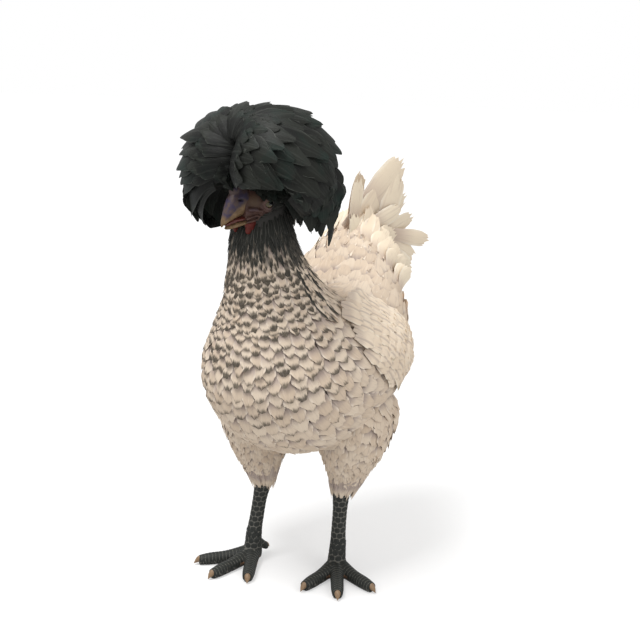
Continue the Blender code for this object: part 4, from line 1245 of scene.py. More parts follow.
def wing_width(side, y, z):
    i = min(max((y - FLANK_Y[0]) / FLANK_STEP, 0), len(FLANK_Y) - 1.001)
    j = min(max((z - FLANK_Z[0]) / FLANK_STEP, 0), len(FLANK_Z) - 1.001)
    a, b, f, g = int(i), int(j), i % 1, j % 1
    field = flank_fields[side]
    smooth_flank = ((field[a, b] * (1 - f) + field[a + 1, b] * f) * (1 - g)
                    + (field[a, b + 1] * (1 - f) + field[a + 1, b + 1] * f) * g)
    return smooth_flank + WING_BULGE * max(1 - in_arm(y, z)**2, 0.0)


def wing_out(side, y, z, lift):
    """A point on the folded wing, and the outer side there."""
    slope_y = (wing_width(side, y + 0.003, z) - wing_width(side, y - 0.003, z)) / 0.006
    slope_z = (wing_width(side, y, z + 0.003) - wing_width(side, y, z - 0.003)) / 0.006
    out = unit(np.array((1.0, -slope_y, -slope_z)))
    place = np.array((wing_width(side, y, z), y, z)) + out * lift
    return place * (side, 1, 1), out * (side, 1, 1)


def wing_row(side, root, slope, length, width, lift, draw, **marks):
    curve, outs = [], []
    for share, rise in ((0.0, -0.2), (0.5, 0.8), (1.0, 0.9)):
        y, z = root[0] + math.cos(slope) * length * share, root[1] - math.sin(slope) * length * share
        place, out = wing_out(side, y, z, lift * rise)
        curve.append(place)
        outs.append(out)
    return Feather(root=curve[0], mid=curve[1], tip=curve[2], out=outs[0], out_end=outs[2], width=width,
                   roll=side * 0.06 + draw.normal(0, 0.05), chance=draw.uniform(),
                   place=(0.5 + root[0] * 3, 0.5 + (root[1] - 0.24) * 3), **marks)


# %% [markdown]
# Most of the wing is cream. The flight feathers turn ochre towards their tips, and a few
# coverts have a dark dash along the shaft. One finish serves both: the stored tone brings in
# the ochre and the stored mark says where a dash starts.

# %% The wing's material
WING_CREAM, WING_BUFF, WING_EDGE = (0.84, 0.71, 0.56), (0.78, 0.64, 0.49), (0.86, 0.76, 0.62)
OCHRE_DARK, OCHRE_LIGHT, WING_DASH = (0.22, 0.18, 0.10), (0.46, 0.37, 0.22), (0.36, 0.29, 0.26)

wing_feather, tree, shader = surface("wing_feather")
along, across = stored(tree, "along"), maths(tree, "ABSOLUTE", stored(tree, "across"))
ochre = stored(tree, "tone")
height, streak = barbs_in(tree, 30.0, 0.30, 0.5)
pale = blend(tree, stored(tree, "chance"), WING_CREAM, WING_BUFF)
vane_colour = blend(tree, smooth(tree, streak, 0.2, 0.8), OCHRE_DARK, OCHRE_LIGHT)
pale = blend(tree, maths(tree, "MULTIPLY", ochre, smooth(tree, along, 0.68, 0.95)), pale, vane_colour)
pale = blend(tree, smooth(tree, across, 0.7, 1.0), pale, WING_EDGE)
# Painted shade: mauve towards each feather's root, where the next one lies over it.
pale = blend(tree, maths(tree, "MULTIPLY", smooth(tree, along, 0.6, 0.25), 0.35), pale, MAUVE_SHADE_AND_VEIN)
hair = hair_in(tree, 4.0)
pale = blend(tree, maths(tree, "MULTIPLY", smooth(tree, hair, 0.46, 0.30), 0.30), pale, MAUVE_SHADE_AND_VEIN)
on_shaft = smooth(tree, across, 0.30, 0.0)
dash = maths(tree, "MULTIPLY", on_shaft, smooth(tree, along, stored(tree, "mark"), 1.0))
pale = blend(tree, maths(tree, "MULTIPLY", dash, 0.5), pale, WING_DASH)
finish_with(tree, shader, pale, height, FEATHER_BUMP, FEATHER_BUMP_DEPTH)
gloss(shader, 0.75, 0.25)
print("wing feather", len(tree.nodes), "nodes")

# %% [markdown]
# The flight feathers are laid first, tier by tier, and then the coverts over them on a slanting
# grid that fills an oval. The oval's middle stands furthest out, so each covert is lifted less
# towards its edge and the arm looks rounded.

# %% The wings' feathers
COVERT_STEP, COVERT_SLOPE = 0.0088, math.radians(44)
COVERT_LONG, COVERT_WIDE = 0.0190, 0.0122
COVERT_SPREAD = 0.88            # how far towards the oval's edge coverts grow
COVERT_LAST = 0.036             # how far down the wing they start at most


def flight_rows(side, draw):
    rows = []
    for first, last, slopes, lengths, width, lift, count in WING_TIERS:
        for i in range(count):
            share = i / (count - 1)
            root = [a + (b - a) * share for a, b in zip(first, last)]
            slope = math.radians(slopes[0] + (slopes[1] - slopes[0]) * share + draw.normal(0, 1))
            length = (lengths[0] + (lengths[1] - lengths[0]) * share) * draw.uniform(0.96, 1.03)
            wide = width * draw.uniform(0.95, 1.05)
            ochre = max(0.0, 1 - 1.9 * share) * (1.0 if lift < 0.006 else 0.4)
            rows.append(wing_row(side, root, slope, length, wide, lift, draw, tone=ochre, mark=2.0))
    return rows


def covert_rows(side, draw):
    rows = []
    for b in range(-9, 10):
        phase = draw.uniform(0, 1)
        for a in range(-10, 11):
            s, q = (a + phase) * COVERT_STEP, b * COVERT_STEP * 0.72
            back = s * math.cos(COVERT_SLOPE) + q * math.sin(COVERT_SLOPE)
            rise = q * math.cos(COVERT_SLOPE) - s * math.sin(COVERT_SLOPE)
            y = WING_MIDDLE[0] + back + draw.normal(0, 0.0008)
            z = WING_MIDDLE[1] + rise + draw.normal(0, 0.0008)
            inside = in_arm(y, z)
            if inside >= COVERT_SPREAD or s >= COVERT_LAST:
                continue
            slope = COVERT_SLOPE + draw.normal(0, 0.08)
            length = COVERT_LONG * draw.uniform(0.9, 1.15)
            lift = 0.0070 - 0.0046 * inside**2
            mark = draw.choice((2.0, 2.0, 0.75))
            rows.append(wing_row(side, (y, z), slope, length, COVERT_WIDE, lift, draw, mark=mark))
    return rows


for side in (LEFT, RIGHT):
    draw = np.random.default_rng(30 + side)
    flight = flight_rows(side, draw)
    coverts = covert_rows(side, draw)
    print("wing", len(flight), "flight feathers and", len(coverts), "coverts")
    plumage("flight_feathers_" + SIDE_NAME[side], flight, "vane", wing_feather, nu=6, nt=14, thick=0.0008,
            camber=0.12, ragged=0.008, replaces=("wing_" + SIDE_NAME[side],), seed=33)
    plumage("coverts_" + SIDE_NAME[side], coverts, "round", wing_feather, nu=6, nt=7, thick=0.0006,
            ragged=0.02, seed=34)

# %% [markdown]
# The shanks carry rows of small plates, each row half a plate behind the last. They are
# raised in the mesh, and each point keeps how far it stands out, for dark plates and paler
# skin between them.

# %% The legs' material
SLATE_DARK, SLATE_LIGHT = (0.014, 0.016, 0.015), (0.036, 0.039, 0.035)
SEAM_DARK, SEAM_LIGHT = (0.105, 0.104, 0.092), (0.17, 0.162, 0.142)
WEB_DARK, WEB_LIGHT = (0.26, 0.12, 0.06), (0.36, 0.20, 0.11)

leg_scale, tree, shader = surface("leg_scale")
plate = stored(tree, "plate")
mottle = grain(tree, 350.0)
slate = blend(tree, mottle, SLATE_DARK, SLATE_LIGHT)
skin_between = blend(tree, mottle, SEAM_DARK, SEAM_LIGHT)
legs = blend(tree, smooth(tree, plate, 0.15, 0.75), skin_between, slate)
legs = blend(tree, stored(tree, "web"), legs, blend(tree, mottle, WEB_DARK, WEB_LIGHT))
finish_with(tree, shader, legs, mottle, 0.25, 0.0002)
gloss(shader, 0.55, 0.25)
print("leg finish", len(tree.nodes), "nodes")

# %% [markdown]
# A tube of fine rings carries the plates. They could be a bump in the finish only, but on a
# shank seen against a white floor the plates show in its outline, so the mesh is raised.

# %% Plates on the shanks
SHANK = np.array([              # out, back, up, radius
    (-0.003, 0.017, 0.084, 0.0074), (-0.003, 0.0155, 0.074, 0.0076), (-0.002, 0.011, 0.060, 0.0064),
    (-0.001, 0.006, 0.042, 0.0064), (0.0, 0.0025, 0.028, 0.0070), (0.0, 0.001, 0.016, 0.0078)])
PLATES_ROUND, PLATE_PITCH, PLATE_RISE = 7, 0.0050, 0.0006


def plate_height(a, b):
    """How far a point stands on its plate, where plates are one apart both ways."""
    row = np.floor(a)
    fa = np.abs(a - row - 0.5) * 2
    fb = b + 0.5 * (row % 2)
    fb = np.abs(fb - np.floor(fb) - 0.5) * 2
    rim = (fa**2.8 + fb**2.8)**(1 / 2.8)
    share = np.clip((1.04 - rim) / 0.26, 0, 1)
    return share * share * (3 - 2 * share)


def leg_point(side, stations, at, turn):
    s = spline(stations, at)
    x = ANKLE[side][0] + side * s[..., 0] + s[..., 3] * np.cos(turn)
    y = ANKLE[side][1] + s[..., 1] + s[..., 3] * np.sin(turn)
    return np.stack([x, y, s[..., 2]], -1)


SHANK_ROWS, SHANK_SIDES = 150, 96
for side in (LEFT, RIGHT):
    at = np.linspace(0, len(SHANK) - 1, SHANK_ROWS)
    turn = np.linspace(0, 2 * math.pi, SHANK_SIDES + 1)[:-1]
    A, B = np.meshgrid(at, turn, indexing="ij")
    points = leg_point(side, SHANK, A, B)
    run = np.concatenate([[0], np.cumsum(np.linalg.norm(np.diff(points[:, 0], axis=0), axis=1))])
    raised = plate_height(run[:, None] / PLATE_PITCH + 0 * B, B / (2 * math.pi) * PLATES_ROUND)
    middle = points.mean(1, keepdims=True)
    points = points + unit(points - middle) * (raised * PLATE_RISE)[..., None]
    grid = np.arange(SHANK_ROWS * SHANK_SIDES).reshape(SHANK_ROWS, SHANK_SIDES)
    quads = np.stack([grid[:-1], grid[1:], np.roll(grid[1:], -1, 1), np.roll(grid[:-1], -1, 1)], -1)
    piece_from("shank_plates_" + SIDE_NAME[side], points.reshape(-1, 3), quads.reshape(-1, 4), leg_scale,
               {"plate": raised.ravel(), "web": np.zeros(raised.size)},
               replaces=("shank_" + SIDE_NAME[side],))

# %% [markdown]
# Each foot has three toes ahead and one behind. Broad scutes cross the tops of the toes, and a
# small web joins the front toes at their roots. Toes and web are fused by a fine remesh, and
# the scutes are then raised along each toe.

# %% The foot's shape
FEET_OUT = {LEFT: math.radians(27), RIGHT: math.radians(14)}
FOOT = np.array([(0.0, 0.0035, 0.0325, 0.0072), (0.0, 0.001, 0.020, 0.0078), (0.0, 0.0, 0.010, 0.0086),
                 (0.0, 0.0, 0.004, 0.0080)])
FRONT_PROFILE = np.array([      # share of the toe's length, height, radius
    (0.0, 0.0100, 0.0080), (0.2, 0.0074, 0.0070), (0.5, 0.0054, 0.0058), (0.8, 0.0050, 0.0055),
    (1.0, 0.0046, 0.0044)])
HIND_PROFILE = np.array([(0.0, 0.0210, 0.0056), (0.45, 0.0160, 0.0050), (0.8, 0.0105, 0.0043),
                         (1.0, 0.0075, 0.0036)])
TOES = [(math.radians(-38), 0.050, FRONT_PROFILE), (0.0, 0.056, FRONT_PROFILE),
        (math.radians(37), 0.053, FRONT_PROFILE), (math.radians(175), 0.020, HIND_PROFILE)]
SCUTE_PITCH, SCUTE_RISE = 0.0034, 0.0005
WEB_REACH = 0.46


def toe_way(side, turn):
    angle = FEET_OUT[side] + turn
    return np.array((side * math.sin(angle), -math.cos(angle), 0.0))


def toe_body(side, turn, length, profile):
    way = toe_way(side, turn)
    across = np.array((-way[1], way[0], 0))
    rings = []
    for k in range(25):
        share, height, radius = spline(profile, k * (len(profile) - 1) / 24)
        middle = ANKLE[side] + way * length * share + np.array((0, 0, height))
        ring = [middle + across * math.cos(a) * radius + np.array((0, 0, math.sin(a) * radius))
                for a in np.linspace(0, 2 * math.pi, 25)[:-1]]
        rings.append([Vector((p[0], p[1], max(p[2], 0.0))) for p in ring])
    return loft(rings)


def web_body(side, first, second):
    """A thin skin between two toes, hollow at its front edge."""
    ways = [toe_way(side, TOES[i][0]) * TOES[i][1] * WEB_REACH for i in (first, second)]
    front = (ways[0] + ways[1]) * 0.36
    outline = [np.zeros(3), ways[0], front + (ways[0] - front) * 0.35, front,
               front + (ways[1] - front) * 0.35, ways[1]]
    rings = []
    for height in (0.0012, 0.0042):
        rings.append([Vector(ANKLE[side] + p + np.array((0, 0, height))) for p in outline])
    return loft(rings)


def foot_parts(side):
    ankle_rings = []
    for k in range(12):
        at = k * (len(FOOT) - 1) / 11
        ankle_rings.append([Vector(leg_point(side, FOOT, np.array(at), np.array(a)))
                            for a in np.linspace(0, 2 * math.pi, 25)[:-1]])
    toes = [toe_body(side, *toe) for toe in TOES]
    return [loft(ankle_rings)] + toes + [web_body(side, 0, 1), web_body(side, 1, 2)]


print("toes on each foot", len(TOES))

# %% [markdown]
# The scutes could be separate plates, but on a toe this thin they would float or sink. Here
# the fused foot's own points are raised instead: bands across the tops of the toes, pebbles
# underneath, plates round the ankle, and none on the web.

# %% Toes and webs
PEBBLE_PITCH = 0.0024
for side in (LEFT, RIGHT):
    foot = remeshed(joined(foot_parts(side), "foot_scales_" + SIDE_NAME[side]), 0.0008, 3)
    co, normals = points_of(foot)
    flat = co - ANKLE[side]
    best, raised = np.full(len(co), 9.0), np.zeros(len(co))
    for turn, length, profile in TOES:
        way = toe_way(side, turn)
        reach = flat @ way
        off = np.abs(flat @ np.array((-way[1], way[0], 0)))
        near = np.where(reach > 0.004, off, 8.0)
        bands = np.abs(reach / SCUTE_PITCH - np.floor(reach / SCUTE_PITCH) - 0.5) * 2
        band = np.clip((1 - bands) / 0.35, 0, 1)
        raised = np.where(near < best, band, raised)
        best = np.minimum(near, best)
    pebbles = plate_height(flat[:, 0] / PEBBLE_PITCH, flat[:, 1] / PEBBLE_PITCH)
    up = np.clip(normals[:, 2] * 2.5 + 0.6, 0, 1)
    ankle_part = np.clip((co[:, 2] - 0.012) / 0.004, 0, 1)
    turns = np.arctan2(flat[:, 1], flat[:, 0]) / (2 * math.pi)
    rings_up = plate_height(co[:, 2] / PLATE_PITCH, turns * PLATES_ROUND)
    raised = np.where(best < 1.0, raised * up + pebbles * (1 - up), pebbles)
    raised = raised * (1 - ankle_part) + rings_up * ankle_part
    near_ankle = np.clip((0.026 - np.linalg.norm(flat[:, :2], axis=1)) / 0.003, 0, 1)
    web = np.clip((best - 0.0052) / 0.0015, 0, 1) * (co[:, 2] < 0.0065) * (best < 1.0) * near_ankle
    raised = raised * (1 - web)
    co = co + normals * (raised * SCUTE_RISE)[:, None]
    co[:, 2] = np.maximum(co[:, 2], 0.0)
    move_points(foot, co)
    carry(foot.data, {"plate": raised, "web": web})
    put_on_bird(foot, leg_scale, ("foot_" + SIDE_NAME[side],))

# %% [markdown]
# A claw is a blunt, slightly hooked horn that sits on the top of the toe's tip.

# %% Claws
HORN_DARK, HORN_LIGHT = (0.17, 0.105, 0.055), (0.33, 0.215, 0.125)
horn, tree, shader = surface("claw_horn")
bands = grain(tree, 500.0)
finish_with(tree, shader, blend(tree, bands, HORN_DARK, HORN_LIGHT), bands, 0.2, 0.0002)
gloss(shader, 0.42)

CLAW_LENGTH, CLAW_SUNK = 0.0066, 0.0032
CLAW = np.array([               # share of the claw's length, rise, radius
    (0.0, 0.0006, 0.0030), (0.35, 0.0014, 0.0033), (0.7, 0.0000, 0.0024), (0.92, -0.0020, 0.0009),
    (1.0, -0.0030, 0.0003)])
for side in (LEFT, RIGHT):
    for number, (turn, length, profile) in enumerate(TOES, start=1):
        way = toe_way(side, turn)
        across = np.array((-way[1], way[0], 0))
        rings = []
        for k in range(15):
            share, rise, radius = spline(CLAW, k * (len(CLAW) - 1) / 14)
            middle = (ANKLE[side] + way * (length - CLAW_SUNK + (CLAW_LENGTH + CLAW_SUNK) * share * 0.9)
                      + np.array((0, 0, profile[-1][1] + rise)))
            ring = [middle + across * math.cos(a) * radius * 0.9 + np.array((0, 0, math.sin(a) * radius))
                    for a in np.linspace(0, 2 * math.pi, 19)[:-1]]
            rings.append([Vector((p[0], p[1], max(p[2], 0.0002))) for p in ring])
        name = f"{SIDE_NAME[side]}_{number}"
        claw = joined([loft(rings)], "horn_" + name)
        claw.data.shade_smooth()
        put_on_bird(claw, horn, ("claw_" + name,))

# %% [markdown]
# The face is bare skin: red-brown and purplish, folded at the corner of the mouth and round
# the eye. It is built from slices like the solids, with rolls of flesh added for the lids
# and the gape, and remeshed finely so that they grow out of one surface.

# %% Slices and rolls of skin
HEAD_SLICES = np.array([        # y, top, bottom, half width
    (0.027, 0.009, -0.004, 0.0070), (0.021, 0.018, -0.014, 0.0130), (0.010, 0.022, -0.019, 0.0160),
    (-0.001, 0.021, -0.0190, 0.0155), (-0.010, 0.018, -0.0175, 0.0135), (-0.0215, 0.0130, -0.0155, 0.0096)])


def slice_rings(slices, count, sides, grow=0.0):
    rings = []
    for k in range(count + 1):
        y, top, bottom, wide = spline(slices, k * (len(slices) - 1) / count)
        ring = []
        for i in range(sides):
            a = 2 * math.pi * i / sides
            ring.append(Vector(in_head(((wide + grow) * math.sin(a), y,
                                        (top + bottom) / 2 + ((top - bottom) / 2 + grow) * math.cos(a)))))
        rings.append(ring)
    return rings


def roll_of_skin(points, radius, closed=False, sides=10):
    """A bmesh of a round roll along points of the head's frame; radius is one or one a point."""
    points = [np.asarray(p, float) for p in points]
    radii = radius if hasattr(radius, "__len__") else [radius] * len(points)
    rings = []
    for i, p in enumerate(points):
        before = points[i - 1] if i or closed else p
        after = points[(i + 1) % len(points)] if i < len(points) - 1 or closed else p
        way = unit(after - before)
        side = unit(np.cross(way, (0, 0, 1) if abs(way[2]) < 0.9 else (0, 1, 0)))
        up = np.cross(side, way)
        rings.append([Vector(in_head(p + (side * math.cos(a) + up * math.sin(a)) * radii[i]))
                      for a in np.linspace(0, 2 * math.pi, sides + 1)[:-1]])
    if not closed:
        return loft(rings)
    bm = bmesh.new()
    rows = [[bm.verts.new(p) for p in ring] for ring in rings]
    for here, there in zip(rows, rows[1:] + rows[:1]):
        for i in range(sides):
            j = (i + 1) % sides
            bm.faces.new((here[i], here[j], there[j], there[i]))
    bmesh.ops.recalc_face_normals(bm, faces=bm.faces)
    return bm


def lid_line(side, wide, high, drop, swell):
    """A loop on the eyeball's surface, almond shaped."""
    points = []
    for a in np.linspace(0, 2 * math.pi, 33)[:-1]:
        y, z = wide * math.cos(a), high * math.sin(a) * (0.75 if math.sin(a) > 0 else 1.0) + drop
        x = math.sqrt(max(swell**2 - y * y - z * z, 0.0))
        points.append((side * (EYE_AT.x + x), y, z))
    return points


def mouth_roll(side):
    line = [(0.0098, -0.0225, -0.0098), (0.0112, -0.0175, -0.0090), (0.0124, -0.0125, -0.0086),
            (0.0132, -0.0095, -0.0098), (0.0124, -0.0115, -0.0118), (0.0108, -0.0165, -0.0126),
            (0.0090, -0.0220, -0.0128)]
    return [(side * x, y, z) for x, y, z in line]


print("head slices", len(HEAD_SLICES))

# %% [markdown]
# The socket is pressed into the finished skin: every point near the eye is moved onto a ball
# a little smaller than the eye itself. A Boolean cut would leave a hard rim there, while moved
# points keep the lids' soft edge. Where the skin is bare, where it is ochre in front of the
# eye and where the lids' pale rim runs are stored for the finish.

# %% The face
face_parts = [loft(slice_rings(HEAD_SLICES, 24, 36))]
for side in (LEFT, RIGHT):
    face_parts.append(roll_of_skin(lid_line(side, 0.0052, 0.0041, -0.0004, 0.0063), 0.0011, closed=True))
    face_parts.append(roll_of_skin(lid_line(side, 0.0074, 0.0066, -0.0004, 0.0078), 0.0013, closed=True))
    face_parts.append(roll_of_skin(mouth_roll(side), 0.0011))
    face_parts.append(roll_of_skin([(side * 0.0100, -0.0205, -0.002), (side * 0.0118, -0.0135, -0.0035),
                                    (side * 0.0142, -0.0070, -0.0060)], [0.0020, 0.0022, 0.0016]))
face = remeshed(joined(face_parts, "face"), 0.0006, 3)
co = points_of(face)[0]
local = (co - HEAD[:3, 3]) @ HEAD[:3, :3]
for side in (LEFT, RIGHT):
    away = local - np.array((side * EYE_AT.x, 0, 0))
    distance = np.linalg.norm(away, axis=1)
    near = (distance < EYE_RADIUS + 0.0004) & (np.abs(local[:, 0]) > 0.006)
    co[near] += (unit(away[near]) * (EYE_RADIUS - 0.0010 - distance[near])[:, None]) @ HEAD[:3, :3].T
move_points(face, co)
bare = np.clip((0.004 - local[:, 1]) / 0.006, 0, 1)
rim = np.zeros(len(co))
for side in (LEFT, RIGHT):
    away = np.hypot(local[:, 1] / 1.15, local[:, 2])
    rim = np.maximum(rim, np.clip(1 - np.abs(away - 0.0052) / 0.0016, 0, 1) * (local[:, 0] * side > 0.008))
lore = np.clip(1.3 - np.hypot((local[:, 1] + 0.0135) / 0.0065, (local[:, 2] - 0.0035) / 0.0062), 0, 1)
carry(face.data, {"bare": bare, "lore": lore, "rim": rim})
print("face", len(co), "points")

# %% [markdown]
# Living skin is never one colour. Blotches of red-brown and violet come from noise at two
# sizes, and the stored values place what has a fixed place: ochre before the eye, pale lids,
# and charcoal where the feathers begin.

# %% The face's finish
# The flesh colours are darker than the skin's own: partly its red-brown, partly painted shade from the
# crest above.
SKIN_DARK, SKIN_LIGHT, SKIN_VIOLET = (0.052, 0.022, 0.018), (0.100, 0.050, 0.036), (0.060, 0.036, 0.052)
SKIN_OCHRE, SKIN_RIM, SKIN_FEATHERED = (0.110, 0.068, 0.036), (0.125, 0.066, 0.052), (0.022, 0.022, 0.019)

face_skin, tree, shader = surface("face_skin")
blotch, fine = grain(tree, 180.0), grain(tree, 1500.0)
flesh = blend(tree, smooth(tree, blotch, 0.35, 0.65), SKIN_DARK, SKIN_LIGHT)
flesh = blend(tree, smooth(tree, grain(tree, 90.0), 0.5, 0.7), flesh, SKIN_VIOLET)
flesh = blend(tree, maths(tree, "MULTIPLY", stored(tree, "lore"), 0.80), flesh, SKIN_OCHRE)
flesh = blend(tree, maths(tree, "MULTIPLY", stored(tree, "rim"), 0.75), flesh, SKIN_RIM)
flesh = blend(tree, maths(tree, "SUBTRACT", 1.0, stored(tree, "bare")), flesh, SKIN_FEATHERED)
finish_with(tree, shader, flesh, maths(tree, "ADD", fine, blotch), 0.45, 0.0004)
gloss(shader, 0.52, 0.35)
put_on_bird(face, face_skin, ("head", "ear_left", "ear_right"))

# %% [markdown]
# The eye is a wet ball. Its iris and pupil are found from the angle to the eye's own axis,
# stored on the mesh, and a clear coat gives the glint.

# %% Eyes
# The iris colours are darker than its own ochre: partly its colour, partly painted shade from the brow.
IRIS_DARK, IRIS_LIGHT, IRIS_EDGE = (0.052, 0.038, 0.010), (0.105, 0.078, 0.020), (0.060, 0.034, 0.008)
PUPIL, EYE_WHITE = (0.004, 0.004, 0.004), (0.05, 0.03, 0.02)

eye_material, tree, shader = surface("eye")
ring = stored(tree, "ring")
iris = blend(tree, smooth(tree, grain(tree, 1200.0), 0.35, 0.7), IRIS_DARK, IRIS_LIGHT)
iris = blend(tree, smooth(tree, ring, 0.48, 0.62), iris, IRIS_EDGE)
iris = blend(tree, smooth(tree, ring, 0.25, 0.21), iris, PUPIL)
iris = blend(tree, smooth(tree, ring, 0.72, 0.80), iris, EYE_WHITE)
finish_with(tree, shader, iris)
gloss(shader, 0.08, 0.2)
shader.inputs["Coat Weight"].default_value = 0.6
shader.inputs["Coat Roughness"].default_value = 0.03
for side in (LEFT, RIGHT):
    rings, segments = 40, 48
    points, ring_values, quads = [], [], []
    for i in range(1, rings):
        a = math.pi * i / rings
        for j in range(segments):
            b = 2 * math.pi * j / segments
            out = np.array((math.cos(a), math.sin(a) * math.cos(b), math.sin(a) * math.sin(b)))
            lens = 1 + 0.045 * max(0.0, 1 - (a / 0.75)**2)
            point = np.array((EYE_AT.x, 0, 0)) + out * EYE_RADIUS * lens
            points.append(in_head((side * point[0], point[1], point[2])))
            ring_values.append(a / (math.pi / 2))
    for i in range(rings - 2):
        for j in range(segments):
            k = (j + 1) % segments
            here, below = i * segments, (i + 1) * segments
            quads.append((here + j, below + j, below + k, here + k))
    eye = piece_from("eyeball_" + SIDE_NAME[side], np.array(points), np.array(quads), eye_material,
                     {"ring": ring_values}, replaces=("eye_" + SIDE_NAME[side],))
    bm = bmesh.new()
    bm.from_mesh(eye.data)
    bmesh.ops.holes_fill(bm, edges=[e for e in bm.edges if e.is_boundary])
    bmesh.ops.recalc_face_normals(bm, faces=bm.faces)
    bm.to_mesh(eye.data)
    bm.free()
    eye.data.shade_smooth()

# %% [markdown]
# The bill is short and strongly arched, with a raised knob and wide nostrils where it meets
# the crest: blue-grey and purple above, tan at its tip and edges. The lower half is a thin
# tan trough, and a dark red tongue fills the open mouth.

# %% The bill's shape
UPPER_BEAK = np.array([         # y, top, bottom, half width
    (-0.0160, 0.0180, -0.0070, 0.0098), (-0.0205, 0.0172, -0.0082, 0.0094),
    (-0.0262, 0.0135, -0.0090, 0.0078), (-0.0320, 0.0070, -0.0100, 0.0060),
    (-0.0370, -0.0012, -0.0112, 0.0040), (-0.0405, -0.0070, -0.0125, 0.0022),
    (-0.0424, -0.0120, -0.0140, 0.0008)])
LOWER_BEAK = np.array([(-0.0180, -0.0112, -0.0160, 0.0084), (-0.0218, -0.0112, -0.0160, 0.0080),
                       (-0.0285, -0.0118, -0.0166, 0.0060), (-0.0345, -0.0130, -0.0168, 0.0038),
                       (-0.0385, -0.0146, -0.0160, 0.0010)])
KNOB_AT, KNOB_SIZE = (0, -0.0215, 0.0135), (0.0058, 0.0068, 0.0062)
NOSTRIL_AT, NOSTRIL_SIZE = (0.0072, -0.0245, 0.0070), (0.003, 0.0026, 0.0014)
NOSTRIL_DEPTH = 0.0014


def head_ball(centre, radii, segments=24, rings=16):
    bm = bmesh.new()
    shape = HEAD_PLACE @ Matrix.Translation(centre) @ Matrix.Diagonal((*radii, 1))
    bmesh.ops.create_uvsphere(bm, u_segments=segments, v_segments=rings, radius=1, matrix=shape)
    return bm


print("bill slices", len(UPPER_BEAK), "above and", len(LOWER_BEAK), "below")

# %% [markdown]
# Horn is layered and slightly waxy. The tan and the violet meet in a ragged line, which comes
# from adding noise to the stored share before it is turned into a mask.

# %% The bill's material
TAN_DARK, TAN_LIGHT = (0.120, 0.074, 0.037), (0.220, 0.142, 0.075)
VIOLET_WARM, VIOLET_COLD = (0.078, 0.052, 0.048), (0.042, 0.032, 0.060)
NOSTRIL_SHADE = (0.012, 0.008, 0.008)

beak_horn, tree, shader = surface("beak_horn")
blue = stored(tree, "blue")
growth = grain(tree, 260.0)
bill = blend(tree, smooth(tree, growth, 0.3, 0.7), TAN_DARK, TAN_LIGHT)
violet = blend(tree, smooth(tree, grain(tree, 170.0), 0.4, 0.62), VIOLET_WARM, VIOLET_COLD)
ragged = maths(tree, "ADD", blue, maths(tree, "MULTIPLY", growth, 0.5))
bill = blend(tree, smooth(tree, ragged, 0.45, 0.95), bill, violet)
# Painted shade: the nostrils' hollows are painted near black.
bill = blend(tree, stored(tree, "hole"), bill, NOSTRIL_SHADE)
finish_with(tree, shader, bill, maths(tree, "ADD", growth, grain(tree, 1400.0)), 0.3, 0.0003)
gloss(shader, 0.42, 0.25)
print("bill finish", len(tree.nodes), "nodes")

# %% [markdown]
# The two halves are lofted from slices like the head. The knob is a ball fused to the upper
# half, and each nostril is pressed in along the surface's own normals, deepest at its middle.

# %% The bill
upper_parts = [loft(slice_rings(UPPER_BEAK, 24, 30)), head_ball(KNOB_AT, KNOB_SIZE)]
upper = remeshed(joined(upper_parts, "upper_bill"), 0.0005, 3)
co, normals = points_of(upper)
local = (co - HEAD[:3, 3]) @ HEAD[:3, :3]
hole = np.zeros(len(co))
for side in (LEFT, RIGHT):
    nostril = np.array((side * NOSTRIL_AT[0], NOSTRIL_AT[1], NOSTRIL_AT[2]))
    away = (local - nostril) / np.array(NOSTRIL_SIZE)
    hole = np.maximum(hole, np.clip(1.2 - np.linalg.norm(away, axis=1), 0, 1))
co -= normals * (hole * NOSTRIL_DEPTH)[:, None]
move_points(upper, co)
ridge, edge = (np.interp(local[:, 1], UPPER_BEAK[::-1, 0], UPPER_BEAK[::-1, k]) for k in (1, 2))
height_share = (local[:, 2] - edge) / (ridge - edge)
blue_share = np.clip((height_share - 0.30) / 0.35, 0, 1) * np.clip((local[:, 1] + 0.0415) / 0.005, 0, 1)
carry(upper.data, {"blue": blue_share, "hole": np.clip(hole, 0, 1)})
put_on_bird(upper, beak_horn, ("upper_beak",))

lower = remeshed(joined([loft(slice_rings(LOWER_BEAK, 18, 24))], "lower_bill"), 0.0005, 3)
plain = np.zeros(len(lower.data.vertices))
carry(lower.data, {"blue": plain, "hole": plain})
put_on_bird(lower, beak_horn, ("lower_beak",))

# %% [markdown]
# The bill stands a little open. Three flat balls fused together fill it with a tongue and the
# floor of the mouth, which is enough for what the gape shows.

# %% Tongue and mouth lining
MOUTH_DARK, MOUTH_LIGHT = (0.055, 0.010, 0.008), (0.14, 0.035, 0.028)
mouth_red, tree, shader = surface("mouth_red")
wet = grain(tree, 700.0)
finish_with(tree, shader, blend(tree, wet, MOUTH_DARK, MOUTH_LIGHT), wet, 0.3, 0.0002)
gloss(shader, 0.35)
parts = [head_ball((0, -0.0215, -0.0100), (0.0078, 0.0110, 0.0022)),
         head_ball((0, -0.0300, -0.0112), (0.0044, 0.0060, 0.0014)),
         head_ball((0, -0.0350, -0.0122), (0.0026, 0.0040, 0.0012))]
lining = remeshed(joined(parts, "mouth_lining"), 0.0006, 2)
put_on_bird(lining, mouth_red)

# %% [markdown]
# Two small red lobes hang under the bill. Each is three flattened balls fused by a remesh,
# with fine cells in the bump for the grain of the skin.

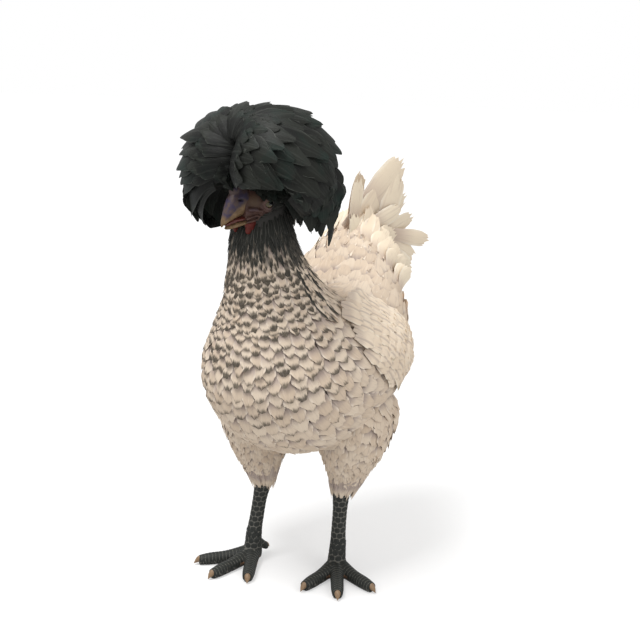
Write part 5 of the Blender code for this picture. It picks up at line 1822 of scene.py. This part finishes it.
# %% Wattles
WATTLE_DARK, WATTLE_LIGHT = (0.060, 0.007, 0.005), (0.150, 0.022, 0.015)
wattle_red, tree, shader = surface("wattle_skin")
on_lobe = put(tree, "ShaderNodeTexCoord").outputs["Object"]
bumps = put(tree, "ShaderNodeTexVoronoi", {"Vector": on_lobe, "Scale": 900.0}).outputs["Distance"]
finish_with(tree, shader, blend(tree, grain(tree, 300.0), WATTLE_DARK, WATTLE_LIGHT), bumps, 0.5, 0.0005)
gloss(shader, 0.45, 0.25)
for side in (LEFT, RIGHT):
    parts = [head_ball((side * 0.0068, -0.0150, -0.0190), (0.0024, 0.0054, 0.0056)),
             head_ball((side * 0.0072, -0.0185, -0.0200), (0.0020, 0.0038, 0.0040)),
             head_ball((side * 0.0066, -0.0150, -0.0160), (0.0030, 0.0066, 0.0036))]
    wattle = remeshed(joined(parts, "wattle_lobe_" + SIDE_NAME[side]), 0.0006, 3)
    put_on_bird(wattle, wattle_red, ("wattle_" + SIDE_NAME[side],))

# %% [markdown]
# Behind the eye and under the bill the face is clothed with tiny charcoal feathers, which
# grow longer down the throat and run into the neck's.

# %% Cheek feathers
def head_point(at, turn):
    s = spline(HEAD_SLICES[::-1], at)
    grow = 0.0014
    x = (s[..., 3] + grow) * np.sin(turn)
    z = (s[..., 1] + s[..., 2]) / 2 + ((s[..., 1] - s[..., 2]) / 2 + grow) * np.cos(turn)
    local = np.stack([x, s[..., 0] + 0 * x, z + 0 * x], -1)
    return local @ HEAD[:3, :3].T + HEAD[:3, 3]


CHEEK_LINES = 40
draw = np.random.default_rng(40)
cheek_rows = []
for places, turn, curve, outs, wide in lay_coat(head_point, len(HEAD_SLICES) - 1, CHEEK_LINES, 1.45,
                                                lambda at: 0.0012, draw):
    local = HEAD[:3, :3].T @ (curve[0] - HEAD[:3, 3])
    eye_gap = min(np.linalg.norm(local - np.array((s * EYE_AT.x, 0, 0))) for s in (LEFT, RIGHT))
    throat = local[2] < -0.0125 and local[1] > -0.016
    cheek = local[2] < -0.0080 and local[1] > -0.0075
    behind = local[1] > 0.0035 + 0.25 * max(local[2], 0)
    if eye_gap < 0.0085 or not (throat or cheek or behind) or local[2] > 0.016:
        continue
    droop = HEAD[:3, :3] @ np.array((0, 0.0005, -0.0016))
    tip = curve[2] + droop + outs[2] * 0.0006
    cheek_rows.append(Feather(root=curve[0], mid=curve[1] + droop * 0.5, tip=tip, out=outs[0],
                              out_end=outs[2], width=0.0042 * draw.uniform(0.85, 1.15),
                              roll=draw.normal(0, 0.15), tone=1.0, mark=1.4, chance=draw.uniform(),
                              place=(0.05 + 0.9 * turn / (2 * math.pi), 0.05 + 0.15 * places[0])))
print("cheeks", len(cheek_rows), "feathers")
plumage("cheek_feathers", cheek_rows, "hackle", body_feather, nu=4, nt=6, thick=0.0004, ragged=0.02,
        seed=41)

# %% [markdown]
# Last, the scene is brought up to date.

# %% Finish
bpy.context.view_layer.update()
